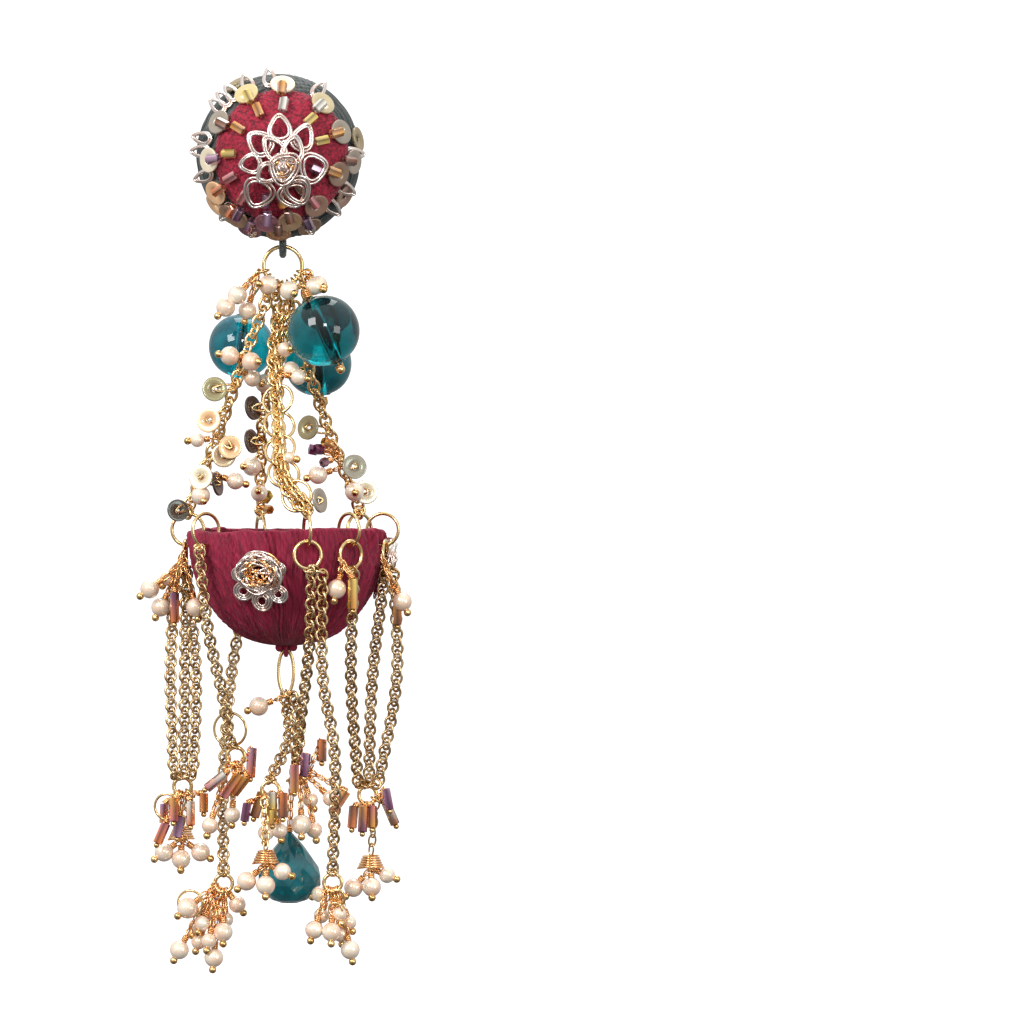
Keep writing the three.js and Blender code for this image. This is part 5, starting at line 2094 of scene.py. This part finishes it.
@dataclass
class HungSprays:
    """The three sprays of pearls that hang on stems."""

    shop: Workshop
    coil_radius: float = 1.2
    coil_height: float = 1.6
    coil_turns: float = 5.5
    rows: tuple[HungRow, ...] = (
        HungRow(
            "left",
            "left",
            48,
            1,
            (-1, 1.6, 3.6),
            (Bead(-1.8, -0.5, 1.3), Bead(0, -0.9, 2), Bead(2, -0.2, 1.3)),
        ),
        HungRow(
            "cap",
            "centre",
            -40,
            -1,
            (0.3, -2.2, 5.3),
            (Bead(-2, -0.3, 1.8), Bead(0, -0.9, 2.2), Bead(1.7, -0.5, 0.8, 0.9)),
        ),
        HungRow(
            "right",
            "right",
            60,
            1,
            (-0.6, 1.4, 5.9),
            (Bead(-1.8, -0.5, 2), Bead(0.1, -1.1, 1.9), Bead(1.7, -0.2, 0.7, 0.85)),
        ),
    )

    def build(self) -> None:
        """Makes every spray."""
        for row in self.rows:
            eye, tail = hub_eye(row.hub, row.lean, row.side)
            top = beside(tail, *row.stem)
            foot = top - vec(0, 0, self.coil_height)
            stem = Chain(1.1, 0.13, 0.45, Look.GOLD).along(routed(tail, top + vec(0, 0, 0.2), ()))
            turns = np.linspace(0, 1, 70)
            swell = self.coil_radius * (0.75 + 0.6 * turns)
            spin = FULL_TURN * self.coil_turns * turns
            out = stacked(cosd(spin), sind(spin), 0)
            path = top + out * swell[:, None] - np.outer(turns * self.coil_height, vec(0, 0, 1))
            parts = [eye, stem, sweep(path, 0.15, Look.COPPER, out, 6), wire_between(top, foot)]
            for bead in row.pearls:
                parts += bead.hung(foot, foot)
            self.shop.piece("cluster_" + row.name, parts, "pearl", "drop", ("pearls_" + row.name,))


@dataclass
class Briolette:
    """The cut teal drop: rows of flat facets between a pointed top and a flat table below."""

    shop: Workshop
    radius: float = 3.9
    height: float = 9.0
    facets: int = 12
    place: tuple[float, float, float] = (-1.1, 1.3, 9.0)

    def build(self) -> None:
        """Makes the stone on its pin."""
        eye, tail = hub_eye("mid", -55, 1)
        middle = beside(on_ring(hub_at("mid"), vec(1, 0, 0), HUB_RADIUS, 0), *self.place)
        top = middle + vec(0, 0, 0.45 * self.height)
        parts = [eye, *pinned(tail, top + vec(0, 0, 0.3)), self._stone().at(aim(middle, vec(0, 0, 1)))]
        self.shop.piece("cut_drop", parts, "teal_glass", "drop", ("briolette",))

    def _stone(self) -> Shell:
        """Makes facets between staggered rows of corners, two triangles for each corner.

        Returns:
            The shell.
        """
        share = np.array([0.03, 0.25, 0.5, 0.74, 0.93, 1.02, 1.0, 0.84, 0.56, 0.26])
        level = np.array([0.5, 0.4, 0.27, 0.13, 0.0, -0.12, -0.25, -0.37, -0.46, -0.5])
        count = self.facets
        stagger = 0.5 * (np.arange(len(share))[:, None] % 2)
        turn = FULL_TURN * (np.arange(count)[None, :] + stagger) / count
        radius = self.radius * share[:, None]
        tall = self.height * level[:, None]
        points = stacked(radius * cosd(turn), radius * sind(turn), tall).reshape(-1, 3)
        index = np.arange(turn.size).reshape(turn.shape)
        triangles = []
        for row in range(len(share) - 1):
            here, there = index[row], index[row + 1]
            if row % 2 == 0:
                near, far = np.roll(there, 1), np.roll(here, -1)
                triangles += [np.stack([here, near, there], 1), np.stack([here, there, far], 1)]
            else:
                far, ahead = np.roll(here, -1), np.roll(there, -1)
                triangles += [np.stack([here, there, ahead], 1), np.stack([here, ahead, far], 1)]
        blocks = [Block(np.concatenate(triangles), Look.CUT_TEAL, False)]
        blocks += [Block(index[:1], Look.CUT_TEAL, False), Block(index[-1:, ::-1], Look.CUT_TEAL, False)]
        return Shell(points, blocks).sealed()


@dataclass(frozen=True)
class StrandRow:
    """A strand of chain from a hanger to a hub. Its ends are beside their rings in chain radii."""

    name: str
    above: str
    start: tuple[float, float]
    below: str
    end: tuple[float, float]
    bends: tuple[tuple[float, float, float], ...]


STRAND_ROWS = (
    StrandRow("left_outer", "left", (-2, 1.6), "left", (-1.6, -1.1), ((0.5, -0.02, 0),)),
    StrandRow("left_middle", "left", (0.1, 1.2), "left", (0.2, 1.3), ((0.5, 0, 0),)),
    StrandRow("left_inner", "left", (0.3, -1), "left", (2, 0), ((0.5, 0.03, 0),)),
    StrandRow("left_swag", "front_left", (0, 0), "inner", (-1, -0.8), ((0.4, -0.02, -0.03), (0.75, 0, 0))),
    StrandRow(
        "rear_long", "rear", (-1.4, 0), "low_left", (0, 0), ((0.3, -0.035, 0.03), (0.7, -0.03, 0.03))
    ),
    StrandRow("base_left", "base", (-0.3, 2.6), "centre", (0, 0.6), ((0.5, 0.11, 0.02),)),
    StrandRow("base_right", "base", (1.7, -1.2), "mid", (-0.6, 2.2), ((0.5, 0.06, 0.08),)),
    StrandRow("front_left", "front", (0.8, -0.6), "mid", (-0.8, -0.6), ((0.4, 0.02, -0.05),)),
    StrandRow(
        "front_long", "front", (2.8, 0.2), "low_right", (0, 0), ((0.35, -0.01, -0.03), (0.6, 0.02, -0.03))
    ),
    StrandRow("front_right", "front_right", (0.6, -0.4), "right", (-1.8, -1.2), ((0.5, -0.02, -0.05),)),
    StrandRow("right_inner", "right", (0, -1), "right", (0.2, 0.8), ((0.5, -0.02, 0),)),
    StrandRow("right_outer", "right", (1.6, 0.8), "right", (2.1, 0), ((0.5, 0.05, 0),)),
)


@dataclass
class Strands:
    """The strands of fine chain between bowl and tassels."""

    shop: Workshop
    base: Base

    def build(self) -> None:
        """Makes every strand, with links on to the rings at both ends."""
        hangers = {row.name for row in Hangers.rows}
        for row in STRAND_ROWS:
            if row.above == "base":
                ring = self.base.foot
            elif row.above in hangers:
                ring = hanger_centre(RIM_PLACES[row.above]) - vec(0, 0, HANGER_RADIUS)
            else:
                ring = beside_bowl(
                    RIM_PLACES[row.above], HANGER_AT + CHAIN_RADIUS, RIM_RING_UP - RIM_RING_RADIUS
                )
            top = ring + vec(*row.start, 0) * CHAIN_RADIUS - vec(0, 0, RING_WIRE + GAP)
            crown = hub_at(row.below) + vec(0, 0, HUB_RADIUS)
            bottom = crown + vec(*row.end, 0) * CHAIN_RADIUS + vec(0, 0, RING_WIRE + GAP)
            route = routed(top, bottom, row.bends)
            joins = [
                FINE_CHAIN.along(routed(ring + (top - ring) * 0.15, top, ())),
                FINE_CHAIN.along(routed(bottom, crown + (bottom - crown) * 0.15, ())),
            ]
            self.shop.piece(
                "chain_" + row.name,
                [FINE_CHAIN.along(route), *joins],
                "antique_chain",
                "drop",
                ("strand_" + row.name,),
            )


@dataclass(frozen=True)
class Light:
    """A square soft light: where it stands and its side in metres, and its power in watts."""

    name: str
    place: tuple[float, float, float]
    size: float
    power: float


@dataclass
class Studio:
    """The camera, the pale backdrop and the soft lights, in metres from the photograph's view."""

    across: float = 0.02925
    depth: float = -0.0045
    height: float = -0.0446
    distance: float = 0.889
    lens: float = 250.0
    floor: float = -0.125
    sky: tuple[float, float] = (0.12, 1.0)
    sky_reach: float = 0.8
    floor_radius: float = 1.0
    floor_bend: float = 0.4
    wall_height: float = 1.3
    lights: tuple[Light, ...] = (
        Light("key", (-0.4, -0.5, 0.3), 0.3, 3.2),
        Light("fill", (0.5, -0.5, 0.02), 0.25, 1.1),
        Light("front", (0.1, -0.75, 0.22), 0.12, 1.1),
        Light("top", (0.05, 0.25, 0.6), 0.4, 1.8),
    )

    def camera(self) -> None:
        """Makes the camera that looks level along +Y."""
        data = bpy.data.cameras.new("camera")
        data.lens, data.sensor_width = self.lens, 36.0
        data.clip_start, data.clip_end = 0.01, 20.0
        made = bpy.data.objects.new("camera", data)
        made.location = (self.across, self.depth - self.distance, self.height)
        made.rotation_euler = (np.pi / 2, 0, 0)
        bpy.context.scene.collection.objects.link(made)
        bpy.context.scene.camera = made

    def build(self) -> None:
        """Makes the backdrop, the lights and the colour settings."""
        self._backdrop()
        for light in self.lights:
            self._light(light)
        world = bpy.data.worlds.new("world")
        world.use_nodes = True
        tree = world.node_tree
        place = tree.nodes.new("ShaderNodeTexCoord")
        split = tree.nodes.new("ShaderNodeSeparateXYZ")
        level = tree.nodes.new("ShaderNodeMapRange")
        level.inputs["From Min"].default_value = -self.sky_reach
        level.inputs["From Max"].default_value = self.sky_reach
        level.inputs["To Min"].default_value = self.sky[0]
        level.inputs["To Max"].default_value = self.sky[1]
        tree.links.new(place.outputs["Object"], split.inputs["Vector"])
        tree.links.new(split.outputs["Z"], level.inputs["Value"])
        tree.links.new(level.outputs["Result"], tree.nodes["Background"].inputs["Strength"])
        tree.nodes["Background"].inputs["Color"].default_value = (1, 1, 1, 1)
        bpy.context.scene.world = world
        bpy.context.scene.view_settings.view_transform = "Standard"

    def _backdrop(self) -> None:
        """A plain pale floor that curves up into a wall all round, far from the earring."""
        angle, bend = np.linspace(0, 90, 14), self.floor_bend
        out, rise = self.floor_radius + bend * sind(angle), self.floor + bend - bend * cosd(angle)
        wall = [self.floor_radius + bend, self.wall_height]
        line = np.vstack([[0.002, self.floor], np.stack([out, rise], axis=1), wall])
        spin = round_angles(96)[None, :]
        points = stacked(line[:, :1] * cosd(spin), line[:, :1] * sind(spin), line[:, 1:])
        index = np.arange(points[..., 0].size).reshape(points.shape[:2])
        ahead = np.roll(index, -1, axis=1)
        faces = np.stack([index[:-1], ahead[:-1], ahead[1:], index[1:]], axis=-1).reshape(-1, 4)
        mesh = bpy.data.meshes.new("backdrop")
        mesh.from_pydata(points.reshape(-1, 3).tolist(), [], faces[:, ::-1].tolist())
        mesh.polygons.foreach_set("use_smooth", np.ones(len(faces), dtype=bool))
        material = bpy.data.materials.new("backdrop")
        material.use_nodes = True
        shader = material.node_tree.nodes["Principled BSDF"]
        shader.inputs["Base Color"].default_value = (0.4, 0.4, 0.4, 1)
        shader.inputs["Roughness"].default_value = 0.9
        shader.inputs["Emission Color"].default_value = (1, 1, 1, 1)
        shader.inputs["Emission Strength"].default_value = 0.87
        mesh.materials.append(material)
        made = bpy.data.objects.new("backdrop", mesh)
        made.visible_diffuse = made.visible_glossy = made.visible_shadow = False
        bpy.context.scene.collection.objects.link(made)
        made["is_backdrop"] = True

    def _light(self, light: Light) -> None:
        """Makes a light that faces the earring's middle.

        Args:
            light: Its place, size and power.
        """
        data = bpy.data.lights.new(light.name, "AREA")
        data.size, data.energy = light.size, light.power
        made = bpy.data.objects.new(light.name, data)
        made.visible_camera = False
        towards = aim(vec(0, 0, 0), np.array(light.place) - vec(0, 0, self.height))
        made.rotation_euler = Matrix(towards[0, :3, :3].tolist()).to_euler()
        made.location = light.place
        bpy.context.scene.collection.objects.link(made)
        made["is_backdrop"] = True


def corners() -> list[list[float]]:
    """Returns the shown object's lowest and highest corner as plain lists."""
    return [list(corner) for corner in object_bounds()]


def main() -> None:
    """Builds the scene in order, from the camera to the last strand."""
    logging.basicConfig(level=logging.INFO, format="%(name)s: %(message)s")
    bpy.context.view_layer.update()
    studio = Studio()
    studio.camera()
    shop = Workshop()
    base = Base(shop)
    sections = [
        Stud(shop),
        TopRing(shop),
        TopChains(shop),
        Bowl(shop),
        Hangers(shop),
        base,
        Tassels(shop),
        HungSprays(shop),
        Briolette(shop),
        Strands(shop, base),
    ]
    for section in sections:
        section.build()
    studio.build()


if __name__ == "__main__":
    main()
